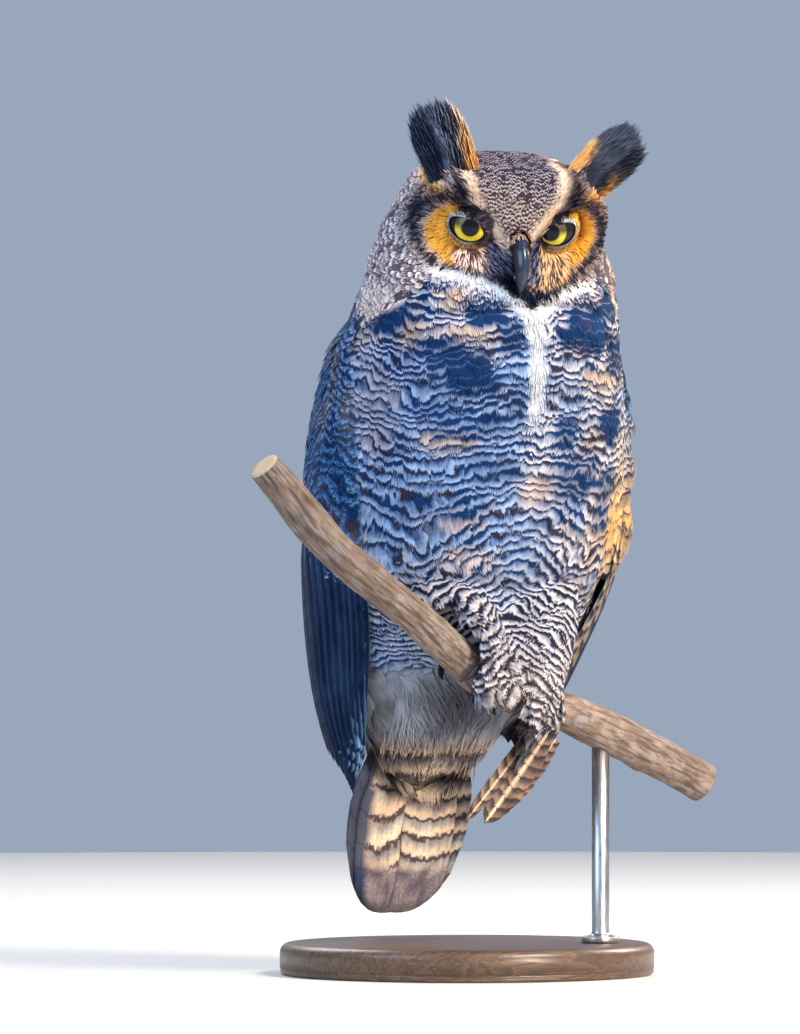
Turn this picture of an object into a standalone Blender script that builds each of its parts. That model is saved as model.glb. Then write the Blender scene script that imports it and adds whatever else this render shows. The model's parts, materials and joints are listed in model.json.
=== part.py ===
"""Great horned owl (Bubo virginianus) on a cut length of branch, still and life-size, on a plain stand.

Run it with: blender --background --python part.py
Metres, +Z up. The owl's body faces -Y and its left side is +X. The origin is the centre of the underside of
the stand's base. The solids reach out to the tips of the plumage, and each named part of the bird is one solid.
"""

import math

import bmesh
import bpy
import numpy as np
from mathutils import Matrix, Vector

# ---------------------------------------------------------------- driving dimensions

GAP = 0.0004  # left between two solids that meet
THIN_CUT = 0.0005  # width of the cuts that part the head, neck and trunk
WING_GAP = 0.0010  # between the body and the thin wings that lie on it
GAP_SPARE = 1.15  # a cutter grows by this much of the gap, as its facets cut its corners

HEAD_CENTRE = Vector((0.001, -0.052, 0.4795))
HEAD_TURN = math.radians(-9.5)  # towards the owl's right
HEAD_NOD = math.radians(20)  # the face looks down
HEAD_TILT = math.radians(1.6)  # the left eye is the lower one
HEAD_HALF_WIDTH = 0.0625
HEAD_UP, HEAD_DOWN = 0.0385, 0.056
HEAD_FRONT, HEAD_BACK = 0.0485, 0.060

EYE_RADIUS = 0.0148
EYE_CENTRE = Vector((0.0268, -0.0335, 0.0022))  # in the head's frame, for the left eye

BRANCH_RADIUS = 0.0112
BRANCH_GROWTH = 0.0022  # how much thicker the low end is
KNOT_RISE, SWELL_RISE = 0.0011, 0.0007
BRANCH_LINE = (  # the centre line, from the high end in front of the right wing to the low end
    (-0.176, -0.094, 0.3190),
    (-0.128, -0.086, 0.2700),
    (-0.067, -0.073, 0.2260),
    (-0.030, -0.063, 0.1985),
    (0.003, -0.054, 0.1790),
    (0.052, -0.044, 0.1640),
    (0.105, -0.033, 0.1420),
    (0.152, -0.024, 0.1200),
)
FOOT_ALONG = {"right": 0.482, "left": 0.625}  # where each foot grips, as a share of the branch's length

BASE_RADIUS = 0.118
BASE_THICKNESS = 0.020
BASE_EDGE, BASE_CHAMFER = 0.006, 0.002  # the rounded upper edge and the bevel underneath
ROD_RADIUS = 0.0055
ROD_CLEARANCE = 0.0003  # between the foot of the rod and the base
ROD_INTO_BRANCH = 0.004  # the rod ends this far under the centre line of the branch
ROD_ALONG = 0.775  # where the rod meets the branch, as a share of its length

SIDES = {"right": -1, "left": 1}  # the sign of X on each side

# Height, then the body's widest line, half width, front and back there. The wings lie outside this.
TRUNK_LEVELS = (
    ("tail root", 0.116, 0.077, 0.012, 0.070, 0.086),
    ("undertail", 0.126, 0.070, 0.029, 0.052, 0.090),
    ("vent", 0.142, 0.056, 0.045, 0.026, 0.094),
    ("rump", 0.168, 0.046, 0.064, 0.004, 0.098),
    ("thighs", 0.198, 0.030, 0.080, -0.022, 0.098),
    ("lower belly", 0.224, 0.018, 0.089, -0.048, 0.097),
    ("under the belly", 0.246, 0.010, 0.094, -0.071, 0.095),
    ("belly", 0.270, 0.003, 0.098, -0.083, 0.093),
    ("flanks", 0.300, -0.001, 0.101, -0.094, 0.089),
    ("breast", 0.335, -0.004, 0.101, -0.104, 0.084),
    ("upper breast", 0.365, -0.009, 0.098, -0.109, 0.077),
    ("shoulders", 0.395, -0.018, 0.093, -0.111, 0.066),
    ("ruff", 0.415, -0.027, 0.089, -0.108, 0.054),
    ("throat", 0.435, -0.036, 0.085, -0.097, 0.043),
    ("cheeks", 0.456, -0.038, 0.078, -0.080, 0.031),
    ("nape", 0.480, -0.036, 0.067, -0.064, 0.014),
    ("hind crown", 0.500, -0.036, 0.050, -0.054, -0.004),
)

# Height, then the folded wing's widest line, half width, depth before and behind it,
# and the angles of its front and back edges round the body, from the side towards the back.
WING_LEVELS = (
    (0.424, -0.031, 0.0810, 0.066, 0.068, 2, 40),
    (0.412, -0.027, 0.0925, 0.075, 0.088, -4, 58),
    (0.393, -0.018, 0.0990, 0.082, 0.092, -10, 70),
    (0.362, -0.010, 0.1050, 0.090, 0.095, -18, 77),
    (0.330, -0.004, 0.1085, 0.095, 0.097, -25, 81),
    (0.299, -0.001, 0.1090, 0.095, 0.099, -27, 84),
    (0.267, 0.004, 0.1068, 0.090, 0.099, -30, 86),
    (0.236, 0.015, 0.1020, 0.076, 0.091, -36, 87),
    (0.204, 0.030, 0.0945, 0.062, 0.078, -40, 86),
    (0.179, 0.042, 0.0870, 0.055, 0.066, -40, 83),
    (0.157, 0.052, 0.0785, 0.050, 0.056, -38, 75),
    (0.135, 0.060, 0.0680, 0.045, 0.046, -32, 60),
    (0.122, 0.064, 0.0605, 0.040, 0.038, -18, 42),
    (0.113, 0.067, 0.0540, 0.036, 0.032, 0, 22),
)
WING_PARTING = 0.262  # height where the flight feathers come out from under the coverts
WING_THICKNESS = 0.0095
FLIGHT_THICKNESS = 0.0055

TAIL_ROOT = Vector((0.0, 0.060, 0.196))
TAIL_TIP = Vector((-0.008, 0.093, 0.0365))
TAIL_THICKNESS = 0.0045
TAIL_ROUNDING = 0.085  # how much of its length shorter the outer feathers are
TAIL_SAG, TAIL_ARCH, TAIL_DROP = 0.010, 0.007, 0.004
TAIL_HALF_WIDTHS = ((0.0, 0.027), (0.30, 0.036), (0.55, 0.042), (0.80, 0.0415), (1.0, 0.034))


# ---------------------------------------------------------------- small tools

parts = bpy.data.collections.new("great_horned_owl")
cutters = bpy.data.collections.new("cutters")


def clear_scene():
    for obj in list(bpy.data.objects):
        bpy.data.objects.remove(obj)
    for collection in (parts, cutters):
        bpy.context.scene.collection.children.link(collection)


def finish_of(name, colour, roughness, metallic=0.0):
    material = bpy.data.materials.new(name)
    material.use_nodes = True
    shader = material.node_tree.nodes["Principled BSDF"]
    shader.inputs["Base Color"].default_value = (*colour, 1.0)
    shader.inputs["Roughness"].default_value = roughness
    shader.inputs["Metallic"].default_value = metallic
    material.diffuse_color = (*colour, 1.0)
    return material


def curve_through(values, at):
    """A smooth curve through rows of values, whose first column is the place, read at each place in at."""
    table = np.array(values, float)
    places, rows = table[:, 0], table[:, 1:]
    at = np.atleast_1d(np.asarray(at, float))
    slopes = np.gradient(rows, places, axis=0)
    upper = np.clip(np.searchsorted(places, at), 1, len(places) - 1)
    lower = upper - 1
    span = places[upper] - places[lower]
    t = np.clip((at - places[lower]) / span, 0, 1)[:, None]
    span = span[:, None]
    return (
        (2 * t**3 - 3 * t**2 + 1) * rows[lower]
        + (t**3 - 2 * t**2 + t) * span * slopes[lower]
        + (3 * t**2 - 2 * t**3) * rows[upper]
        + (t**3 - t**2) * span * slopes[upper]
    )


def add_object(name, data, material, collection=parts):
    obj = bpy.data.objects.new(name, data)
    collection.objects.link(obj)
    if material is not None:
        data.materials.append(material)
    return obj


def smooth(obj, sharp_degrees=40):
    obj.data.shade_smooth()
    obj.data.set_sharp_from_angle(angle=math.radians(sharp_degrees))
    return obj


def loft(name, rings, material, tips=True, collection=parts):
    """A closed skin over rings of equal count. With tips, each end closes on its ring's middle."""
    bm = bmesh.new()
    rows = [[bm.verts.new(point) for point in ring] for ring in rings]
    count = len(rows[0])
    for low, high in zip(rows, rows[1:]):
        for i in range(count):
            j = (i + 1) % count
            bm.faces.new((low[i], low[j], high[j], high[i]))
    for row in (rows[0], rows[-1]):
        if tips:
            middle = bm.verts.new(sum((v.co for v in row), Vector()) / count)
            for i in range(count):
                bm.faces.new((row[i], row[(i + 1) % count], middle))
        else:
            bm.faces.new(row)
    bmesh.ops.recalc_face_normals(bm, faces=bm.faces)
    mesh = bpy.data.meshes.new(name)
    bm.to_mesh(mesh)
    bm.free()
    return smooth(add_object(name, mesh, material, collection))


def shell(name, rows, material, thickness, thin_edge=0.3):
    """A sheet over a grid of points, given its thickness inwards, thinner towards its edges."""
    bm = bmesh.new()
    grid = [[bm.verts.new(point) for point in row] for row in rows]
    for low, high in zip(grid, grid[1:]):
        for i in range(len(low) - 1):
            bm.faces.new((low[i], low[i + 1], high[i + 1], high[i]))
    bm.normal_update()
    mesh = bpy.data.meshes.new(name)
    bm.to_mesh(mesh)
    bm.free()
    obj = smooth(add_object(name, mesh, material))
    group = obj.vertex_groups.new(name="thickness")
    last_row, last_column = len(rows) - 1, len(rows[0]) - 1
    for r in range(len(rows)):
        for c in range(len(rows[0])):
            inner = min(1.0, 3.2 * min(c, last_column - c) / last_column)
            lower = min(1.0, 4.0 * min(r, last_row - r) / last_row)
            share = thin_edge + (1 - thin_edge) * math.sqrt(inner * lower)
            group.add([r * (last_column + 1) + c], share, "REPLACE")
    solidify = obj.modifiers.new("thickness", "SOLIDIFY")
    solidify.thickness = thickness
    solidify.offset = -1
    solidify.vertex_group = group.name
    solidify.use_even_offset = False
    return obj


def evaluated_mesh(obj):
    bpy.context.view_layer.update()
    graph = bpy.context.evaluated_depsgraph_get()
    mesh = bpy.data.meshes.new_from_object(obj.evaluated_get(graph))
    mesh.transform(obj.matrix_world)
    return mesh


def seat(host, *guests, gap=GAP):
    """Cuts from host the room that each guest needs, a gap wider than the guest all round."""
    for guest in guests:
        mesh = evaluated_mesh(guest)
        bm = bmesh.new()
        bm.from_mesh(mesh)
        bmesh.ops.remove_doubles(bm, verts=bm.verts, dist=1e-6)
        bm.normal_update()
        for vertex, normal in [(v, v.normal.copy()) for v in bm.verts]:
            vertex.co += normal * gap * GAP_SPARE
        bm.to_mesh(mesh)
        bm.free()
        cutter = add_object(f"room_for_{guest.name}_in_{host.name}", mesh, None, cutters)
        cutter.hide_render = True
        cutter.display_type = "WIRE"
        boolean = host.modifiers.new(cutter.name, "BOOLEAN")
        boolean.operation = "DIFFERENCE"
        boolean.object = cutter


def as_cutter(obj):
    """Moves an object from the parts to the hidden helpers."""
    cutters.objects.link(obj)
    parts.objects.unlink(obj)
    obj.hide_render = True
    obj.display_type = "WIRE"
    return obj


def union(host, *guests):
    """Joins each guest to host, and leaves it as a hidden helper."""
    for guest in guests:
        as_cutter(guest)
        boolean = host.modifiers.new(guest.name, "BOOLEAN")
        boolean.operation = "UNION"
        boolean.object = guest


def tube(name, points, radii, material, resolution=2):
    """A round rod through the points, as a mesh whose caps are welded."""
    curve = bpy.data.curves.new(name, "CURVE")
    curve.dimensions = "3D"
    curve.bevel_depth = 1.0
    curve.bevel_resolution = resolution
    curve.use_fill_caps = True
    spline = curve.splines.new("POLY")
    spline.points.add(len(points) - 1)
    for spot, point, radius in zip(spline.points, points, radii):
        spot.co = (*point, 1.0)
        spot.radius = radius
    guide = add_object(f"{name}_line", curve, None, cutters)
    mesh = evaluated_mesh(guide)
    bpy.data.objects.remove(guide)
    bm = bmesh.new()
    bm.from_mesh(mesh)
    bmesh.ops.remove_doubles(bm, verts=bm.verts, dist=1e-6)
    bmesh.ops.recalc_face_normals(bm, faces=bm.faces)
    bm.to_mesh(mesh)
    bm.free()
    mesh.materials.clear()
    return smooth(add_object(name, mesh, material))


# ---------------------------------------------------------------- the form of head, neck and trunk

HEAD_FRAME = (
    Matrix.Translation(HEAD_CENTRE)
    @ Matrix.Rotation(HEAD_TURN, 4, "Z")
    @ Matrix.Rotation(HEAD_NOD, 4, "X")
    @ Matrix.Rotation(HEAD_TILT, 4, "Y")
)
TO_HEAD = np.array(HEAD_FRAME.inverted())

CHEEK_SQUARENESS = 2.35  # exponent of the head's outline, where 2 is an ellipse
FACE_FLATNESS = 2.9
BODY_SQUARENESS = 2.15
BLEND = 0.016  # how softly the head grows out of the neck


def hill(x, z, at, radii):
    return np.exp(-(((x - at[0]) / radii[0]) ** 2) - ((z - at[1]) / radii[1]) ** 2)


def ridge(x, z, start, end, width):
    """1 along the line from start to end, and falling off within width of it."""
    run = np.subtract(end, start)
    t = np.clip(((x - start[0]) * run[0] + (z - start[1]) * run[1]) / (run @ run), 0, 1)
    away = np.hypot(x - start[0] - t * run[0], z - start[1] - t * run[1])
    return np.exp(-((away / width) ** 2))


# The forms of the face, in the head's frame: where each is, as (across, up), how far it reaches and stands out.
BROW_SLOPE = 0.92  # the rise of the brows from the bill to the ear tufts
BROW_FOOT = (0.006, -0.004)  # where the line of the brows passes beside the bill
FOREHEAD_RISE, FOREHEAD_EDGE, FOREHEAD_REACH = 0.0046, 0.0044, 0.024
BROW_LINE, BROW_RISE, BROW_WIDTH = ((0.006, -0.003), (0.043, 0.031)), 0.0040, 0.0062
BROW_END, BROW_FADE = 0.054, 0.016  # the brows end where the ear tufts begin
DISH_DEPTH, DISH_RADIUS = 0.0060, 0.0205
DISC_CENTRE, DISC_RADIUS, DISC_STRETCH = (0.0255, -0.005), 0.0335, 1.06
RIM_RISE, RIM_WIDTH, RIM_START, RIM_FADE = 0.0034, 0.0050, 0.012, 0.02
BRISTLE_PLACE, BRISTLE_RISE, BRISTLE_REACH = (0.0, -0.013), 0.0062, (0.0105, 0.0125)
MOUSTACHE_LINE, MOUSTACHE_RISE, MOUSTACHE_WIDTH = ((0.009, -0.029), (0.029, -0.021)), 0.0050, 0.0060
CHIN_PLACE, CHIN_RISE, CHIN_REACH = (0.0, -0.040), 0.0020, (0.016, 0.007)


def face_relief(x, z):
    """How far the face stands out from the plain head, at x across and z up in the head's frame."""
    side = np.abs(x)
    from_eye = np.hypot(side - EYE_CENTRE.x, z - EYE_CENTRE.z)
    from_disc = np.hypot((side - DISC_CENTRE[0]) / DISC_STRETCH, z - DISC_CENTRE[1])
    above = (z - BROW_FOOT[1] - BROW_SLOPE * (side - BROW_FOOT[0])) / math.hypot(1, BROW_SLOPE)
    forehead = FOREHEAD_RISE / (1 + np.exp(-above / FOREHEAD_EDGE))
    forehead = forehead * np.exp(-((np.maximum(above, 0) / FOREHEAD_REACH) ** 2))
    brow = BROW_RISE * ridge(side, z, *BROW_LINE, BROW_WIDTH)
    dish = -DISH_DEPTH * np.exp(-((from_eye / DISH_RADIUS) ** 4))
    rim = RIM_RISE * np.exp(-(((from_disc - DISC_RADIUS) / RIM_WIDTH) ** 2))
    rim = rim * np.clip((side - RIM_START) / RIM_FADE, 0, 1)
    bristles = BRISTLE_RISE * hill(side, z, BRISTLE_PLACE, BRISTLE_REACH)
    moustache = MOUSTACHE_RISE * ridge(side, z, *MOUSTACHE_LINE, MOUSTACHE_WIDTH)
    chin = CHIN_RISE * hill(side, z, CHIN_PLACE, CHIN_REACH)
    inner = np.clip((BROW_END - side) / BROW_FADE, 0, 1)
    return (forehead + brow) * inner + dish + rim + bristles + moustache + chin


def head_distance(points):
    local = points @ TO_HEAD[:3, :3].T + TO_HEAD[:3, 3]
    x, y, z = local.T
    tall = np.where(z > 0, HEAD_UP, HEAD_DOWN)
    deep = np.where(y < 0, HEAD_FRONT, HEAD_BACK)
    square = np.where(y < 0, FACE_FLATNESS, 2.1)
    outline = (np.abs(x / HEAD_HALF_WIDTH) ** CHEEK_SQUARENESS + np.abs(z / tall) ** CHEEK_SQUARENESS) ** (
        1 / CHEEK_SQUARENESS
    )
    scale = (outline**square + np.abs(y / deep) ** square) ** (1 / square)
    facing = np.clip((-y - 0.006) / 0.022, 0, 1)
    size = np.linalg.norm(local, axis=1)
    return size * (1 - 1 / np.maximum(scale, 1e-6)) - face_relief(x, z) * facing


def body_distance(points):
    x, y, z = points.T
    widest, half_width, front, back = curve_through([row[1:] for row in TRUNK_LEVELS], z).T
    off = y - widest
    deep = np.where(off < 0, widest - front, back - widest)
    scale = (np.abs(x / half_width) ** BODY_SQUARENESS + np.abs(off / deep) ** BODY_SQUARENESS) ** (
        1 / BODY_SQUARENESS
    )
    away = np.hypot(x, off) * (1 - 1 / np.maximum(scale, 1e-6))
    return np.maximum(away, z - TRUNK_LEVELS[-1][1])


def flesh_distance(points):
    """Below zero inside the head, neck and trunk, taken as one smooth form."""
    a, b = head_distance(points), body_distance(points)
    share = np.clip(0.5 + 0.5 * (b - a) / BLEND, 0, 1)
    return b * (1 - share) + a * share - BLEND * share * (1 - share)


RING_POINTS = 36
REACH = 0.16  # no ring of the body is wider than this


def axis_at(height):
    """The line inside the body that the rings are cast from."""
    low = curve_through([row[1:] for row in TRUNK_LEVELS], min(height, 0.47))[0]
    y = (low[2] + low[3]) / 2
    blend = np.clip((height - 0.42) / 0.05, 0, 1)
    return np.array((-0.002 * blend, y * (1 - blend) - 0.050 * blend, height))


def ring_at(height):
    """The form's outline at a height: the farthest crossing along each ray, closer together on the face."""
    turn = np.linspace(0, 2 * math.pi, RING_POINTS, endpoint=False)
    angle = turn - 0.36 * np.sin(turn)
    rays = np.stack((np.sin(angle), -np.cos(angle), np.zeros(RING_POINTS)), axis=1)
    centre = axis_at(height)
    steps = np.linspace(0.0, REACH, 81)
    places = centre + rays[:, None, :] * steps[None, :, None]
    inside = flesh_distance(places.reshape(-1, 3)).reshape(RING_POINTS, -1) < 0
    last = inside.shape[1] - 1 - np.argmax(inside[:, ::-1], axis=1)
    low, high = steps[last], steps[np.minimum(last + 1, len(steps) - 1)]
    for _ in range(20):
        middle = (low + high) / 2
        within = flesh_distance(centre + rays * middle[:, None]) < 0
        low, high = np.where(within, middle, low), np.where(within, high, middle)
    return centre + rays * low[:, None]


def crown_height():
    low, high = HEAD_CENTRE.z, HEAD_CENTRE.z + 0.08
    for _ in range(24):
        middle = (low + high) / 2
        inside = flesh_distance(axis_at(middle)[None, :])[0] < 0
        low, high = (middle, high) if inside else (low, middle)
    return low


def make_flesh():
    """Head, neck and trunk as one closed mesh."""
    crown = crown_height()
    lowest = TRUNK_LEVELS[0][1]
    end_rings = lowest + np.array((0.0, 0.0035, 0.0095))
    trunk_rings = np.linspace(lowest + 0.019, 0.414, 10)
    face_rings = np.linspace(0.4240, crown - 0.007, 19)
    crown_rings = crown - np.array((0.0035, 0.0013, 0.0002))
    heights = np.concatenate((end_rings, trunk_rings, face_rings, crown_rings))
    return loft("flesh", [ring_at(h) for h in heights], None, collection=cutters)


def slice_of(flesh, name, material, above=None, below=None):
    """The part of the flesh between two slanted planes, each given as a point and an upward normal."""
    bm = bmesh.new()
    bm.from_mesh(flesh.data)
    for plane, keep_above in ((above, True), (below, False)):
        if plane is None:
            continue
        point, normal = plane
        offset = normal * THIN_CUT / 2 * (1 if keep_above else -1)
        geometry = bm.verts[:] + bm.edges[:] + bm.faces[:]
        bmesh.ops.bisect_plane(
            bm,
            geom=geometry,
            plane_co=point + offset,
            plane_no=normal,
            clear_inner=keep_above,
            clear_outer=not keep_above,
        )
        rim = [edge for edge in bm.edges if edge.is_boundary]
        bmesh.ops.contextual_create(bm, geom=rim)
    bmesh.ops.recalc_face_normals(bm, faces=bm.faces)
    mesh = bpy.data.meshes.new(name)
    bm.to_mesh(mesh)
    bm.free()
    return smooth(add_object(name, mesh, material))


CHIN_PLANE = (Vector((0.0, -0.110, 0.4225)), Vector((0.0, -0.27, 1.0)).normalized())
COLLAR_PLANE = (Vector((0.0, -0.110, 0.3900)), Vector((0.0, -0.22, 1.0)).normalized())


# ---------------------------------------------------------------- eyes, bill and ear tufts

EYE_TURN = math.radians(9)  # each eye looks a little outwards
CORNEA_BULGE = 0.0012


def make_eye(side, material):
    """An eyeball, with the clear dome of the cornea standing a little proud at the front."""
    sign = SIDES[side]
    centre = HEAD_FRAME @ Vector((sign * EYE_CENTRE.x, EYE_CENTRE.y, EYE_CENTRE.z))
    frame = HEAD_FRAME.to_3x3() @ Matrix.Rotation(sign * EYE_TURN, 3, "Z")
    bpy.ops.mesh.primitive_uv_sphere_add(segments=12, ring_count=8, radius=EYE_RADIUS)
    eye = bpy.context.object
    eye.name = f"eye_{side}"
    eye.data.name = eye.name
    eye.data.transform(Matrix.Rotation(math.pi / 2, 4, "X"))
    for vertex in eye.data.vertices:
        front = max(0.0, -vertex.co.y / EYE_RADIUS - 0.55) / 0.45
        vertex.co.y -= CORNEA_BULGE * math.sqrt(front)
    eye.matrix_world = Matrix.Translation(centre) @ frame.to_4x4()
    for collection in list(eye.users_collection):
        collection.objects.unlink(eye)
    parts.objects.link(eye)
    eye.data.materials.append(material)
    return smooth(eye, 80)


BILL_POINTS = 12
UPPER_BILL = (  # share of its length, forward, up, half width, half depth, in the head's frame
    (0.00, 0.0400, -0.0050, 0.0074, 0.0070),
    (0.22, 0.0520, -0.0050, 0.0076, 0.0072),
    (0.42, 0.0595, -0.0088, 0.0069, 0.0068),
    (0.60, 0.0640, -0.0150, 0.0057, 0.0058),
    (0.78, 0.0652, -0.0225, 0.0040, 0.0043),
    (0.92, 0.0632, -0.0290, 0.0022, 0.0024),
    (1.00, 0.0606, -0.0325, 0.0008, 0.0009),
)
LOWER_BILL = (
    (0.00, 0.0400, -0.0215, 0.0062, 0.0030),
    (0.40, 0.0500, -0.0215, 0.0060, 0.0032),
    (0.75, 0.0566, -0.0240, 0.0045, 0.0029),
    (1.00, 0.0602, -0.0280, 0.0016, 0.0012),
)


def make_bill(name, stations, material, rings=9):
    """Half a bill: oval sections, narrower along the ridge, square to its bent line."""
    places = np.linspace(0, 1, rings)
    forward, up, half_width, half_depth = curve_through(stations, places).T
    tangent = np.stack((np.gradient(forward), np.gradient(up)), axis=1)
    tangent /= np.linalg.norm(tangent, axis=1)[:, None]
    sections = []
    for i in range(rings):
        outward = np.array((-tangent[i, 1], tangent[i, 0]))  # towards the ridge, in (forward, up)
        ring = []
        for k in range(BILL_POINTS):
            angle = 2 * math.pi * k / BILL_POINTS
            rise = math.cos(angle)
            across = math.sin(angle) * half_width[i] * (1 - 0.22 * max(rise, 0.0))
            ahead = forward[i] + outward[0] * rise * half_depth[i]
            above = up[i] + outward[1] * rise * half_depth[i]
            ring.append(HEAD_FRAME @ Vector((across, -ahead, above)))
        sections.append(ring)
    return loft(name, sections, material)


TUFTS = {  # root and tip in the head's frame, and the half width of the blade
    "right": (Vector((-0.0340, -0.030, 0.0165)), Vector((-0.0600, -0.004, 0.0745)), 0.0172),
    "left": (Vector((0.0350, -0.030, 0.0180)), Vector((0.0890, -0.004, 0.0545)), 0.0172),
}
TUFT_PROFILE = (  # share of its length, width and thickness
    (0.00, 0.66, 0.0070),
    (0.25, 0.90, 0.0064),
    (0.50, 1.00, 0.0052),
    (0.75, 0.98, 0.0038),
    (0.92, 0.80, 0.0026),
    (1.00, 0.46, 0.0014),
)
TUFT_POINTS = 12
TUFT_CURL = 0.006  # the blade bows back towards its tip


def make_tuft(side, material):
    """An ear tuft: a flat blade of feathers standing up from the end of the brow."""
    root, tip, half_width = TUFTS[side]
    run = (tip - root).normalized()
    ahead = Vector((0.22 * SIDES[side], -1.0, 0.0))  # the blade's flat side faces forward and outward
    across = run.cross(ahead).normalized()
    thick = across.cross(run).normalized()
    places = np.linspace(0, 1, 8)
    widths, depths = curve_through(TUFT_PROFILE, places).T
    rings = []
    for place, width, depth in zip(places, widths, depths):
        centre = root.lerp(tip, float(place)) - thick * TUFT_CURL * math.sin(math.pi * float(place))
        ring = []
        for k in range(TUFT_POINTS):
            angle = 2 * math.pi * k / TUFT_POINTS
            bow = 0.10 * half_width * math.cos(angle) ** 2
            point = centre + across * math.cos(angle) * half_width * float(width)
            ring.append(HEAD_FRAME @ (point + thick * (math.sin(angle) * float(depth) - bow)))
        rings.append(ring)
    return loft(f"ear_tuft_{side}", rings, material)


# ---------------------------------------------------------------- wings and tail


def wing_point(side, height, share):
    """A point of the folded wing's outside, at a height and at a share of the way to its back edge."""
    rows = sorted(WING_LEVELS)
    widest, half_width, before, behind, first, last = curve_through(rows, height)[0]
    angle = math.radians(first + (last - first) * share)
    depth = before if angle < 0 else behind
    return Vector((SIDES[side] * half_width * math.cos(angle), widest + depth * math.sin(angle), height))


def make_wing_part(name, side, top, bottom, rows, columns, thickness, material):
    """A length of the folded wing, from one height to another, wrapped round the body."""
    heights = [top + (bottom - top) * r / (rows - 1) for r in range(rows)]
    shares = [c / (columns - 1) for c in range(columns)]
    if side == "left":
        shares.reverse()
    grid = [[wing_point(side, height, share) for share in shares] for height in heights]
    return shell(name, grid, material, thickness)


def make_tail(material):
    """The closed tail: a fan a little arched across, with a rounded end."""
    rows, columns = 10, 7
    grid = []
    for r in range(rows):
        along = r / (rows - 1)
        half_width = float(curve_through(TAIL_HALF_WIDTHS, along)[0, 0])
        row = []
        for c in range(columns):
            across = 1 - 2 * c / (columns - 1)
            shorter = TAIL_ROUNDING * abs(across) ** 3
            centre = TAIL_ROOT.lerp(TAIL_TIP, along * (1 - shorter))
            sag = TAIL_SAG * math.sin(math.pi * 0.5 * along)  # the fan bends down towards its tip
            arch = TAIL_ARCH * (1 - across * across)
            row.append(centre + Vector((across * half_width, sag + arch - TAIL_DROP, 0.0)))
        grid.append(row)
    return shell("tail", grid, material, TAIL_THICKNESS, thin_edge=0.35)


# ---------------------------------------------------------------- the branch, legs, feet and claws


def branch_line(share):
    """A point of the branch's centre line at a share of its length."""
    table = [(i / (len(BRANCH_LINE) - 1), *point) for i, point in enumerate(BRANCH_LINE)]
    return Vector(curve_through(table, share)[0])


def branch_frame(share):
    """Centre, direction along, direction up and direction to the front of the branch."""
    centre = branch_line(share)
    along = (branch_line(share + 0.01) - branch_line(share - 0.01)).normalized()
    up = (Vector((0, 0, 1)) - along * along.z).normalized()
    front = along.cross(up)
    return centre, along, up, front if front.y < 0 else -front


def branch_radius(share):
    knots = KNOT_RISE * math.sin(9.0 * share + 0.6) ** 6 + SWELL_RISE * math.sin(23.0 * share) ** 2
    return BRANCH_RADIUS + BRANCH_GROWTH * (share - 0.45) + knots


def make_branch(material):
    shares = [i / 14 for i in range(15)]
    return tube("perch", [branch_line(s) for s in shares], [branch_radius(s) for s in shares], material, 3)


# Height, then the middle and the radius of the feathered leg there, from the belly to its lower hem.
# The left one hangs lowest over the front of the branch.
LEG_LEVELS = {
    "right": (
        (0.176, -0.0150, -0.0770, 0.0120),
        (0.184, -0.0165, -0.0715, 0.0190),
        (0.194, -0.0195, -0.0660, 0.0240),
        (0.208, -0.0235, -0.0600, 0.0275),
        (0.226, -0.0290, -0.0500, 0.0300),
        (0.246, -0.0340, -0.0360, 0.0290),
    ),
    "left": (
        (0.158, 0.0210, -0.0660, 0.0125),
        (0.168, 0.0205, -0.0615, 0.0190),
        (0.182, 0.0195, -0.0575, 0.0240),
        (0.200, 0.0225, -0.0535, 0.0280),
        (0.222, 0.0280, -0.0460, 0.0300),
        (0.246, 0.0330, -0.0340, 0.0290),
    ),
}
LEG_POINTS = 14


def make_leg(side, material):
    """The thickly feathered thigh and shank, which hide the foot and the front of the branch."""
    levels = LEG_LEVELS[side]
    rings = []
    for k in range(9):
        height = levels[0][0] + (levels[-1][0] - levels[0][0]) * (k / 8) ** 1.25
        x, y, radius = (float(value) for value in curve_through(levels, height)[0])
        ring = []
        for i in range(LEG_POINTS):
            angle = 2 * math.pi * i / LEG_POINTS
            ring.append(Vector((x + math.cos(angle) * radius, y + math.sin(angle) * radius, height)))
        rings.append(ring)
    return loft(f"leg_{side}", rings, material)


ANKLE_RADIUS = 0.0088
ANKLE_HEIGHT = 0.0095  # from the bark to the middle of the ankle
TOE_RADIUS = 0.0052
TOE_SHAPE = (0.95, 1.0, 0.97, 0.92, 0.74)  # the toe's thickness from its root to its tip
GRIP_SPARE = 0.0006  # between the toes and the thickest bark close by
GRIP_ROOM = (0.22, 0.80)  # the stretch of the branch that the legs leave free
TOES = (  # sideways from the ankle, spread along the branch, first and last angle round it from its top
    (0.007, 0.007, 20, 88),
    (-0.007, -0.007, 20, 88),
    (0.006, 0.008, -20, -84),
    (-0.006, -0.008, -20, -84),
)
CLAW_START = 7.0  # degrees from the end of the toe to the root of its claw
CLAW_TURN = 60  # degrees that a claw goes on round the branch
CLAW_RADII = (0.0034, 0.0031, 0.0024, 0.0015, 0.0006)


def grip_radius(share):
    """The thickest that the branch gets close to a share of its length, with a little to spare."""
    return max(branch_radius(share + step) for step in (-0.05, -0.025, 0.0, 0.025, 0.05)) + GRIP_SPARE


def gripping_point(share, sideways, degrees, clearance):
    """A point near the branch: so far along it, turned so far forward from its top, so far off its bark."""
    centre, along, up, front = branch_frame(share)
    angle = math.radians(degrees)
    radius = grip_radius(share) + clearance
    return centre + along * sideways + (up * math.cos(angle) + front * math.sin(angle)) * radius


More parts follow.
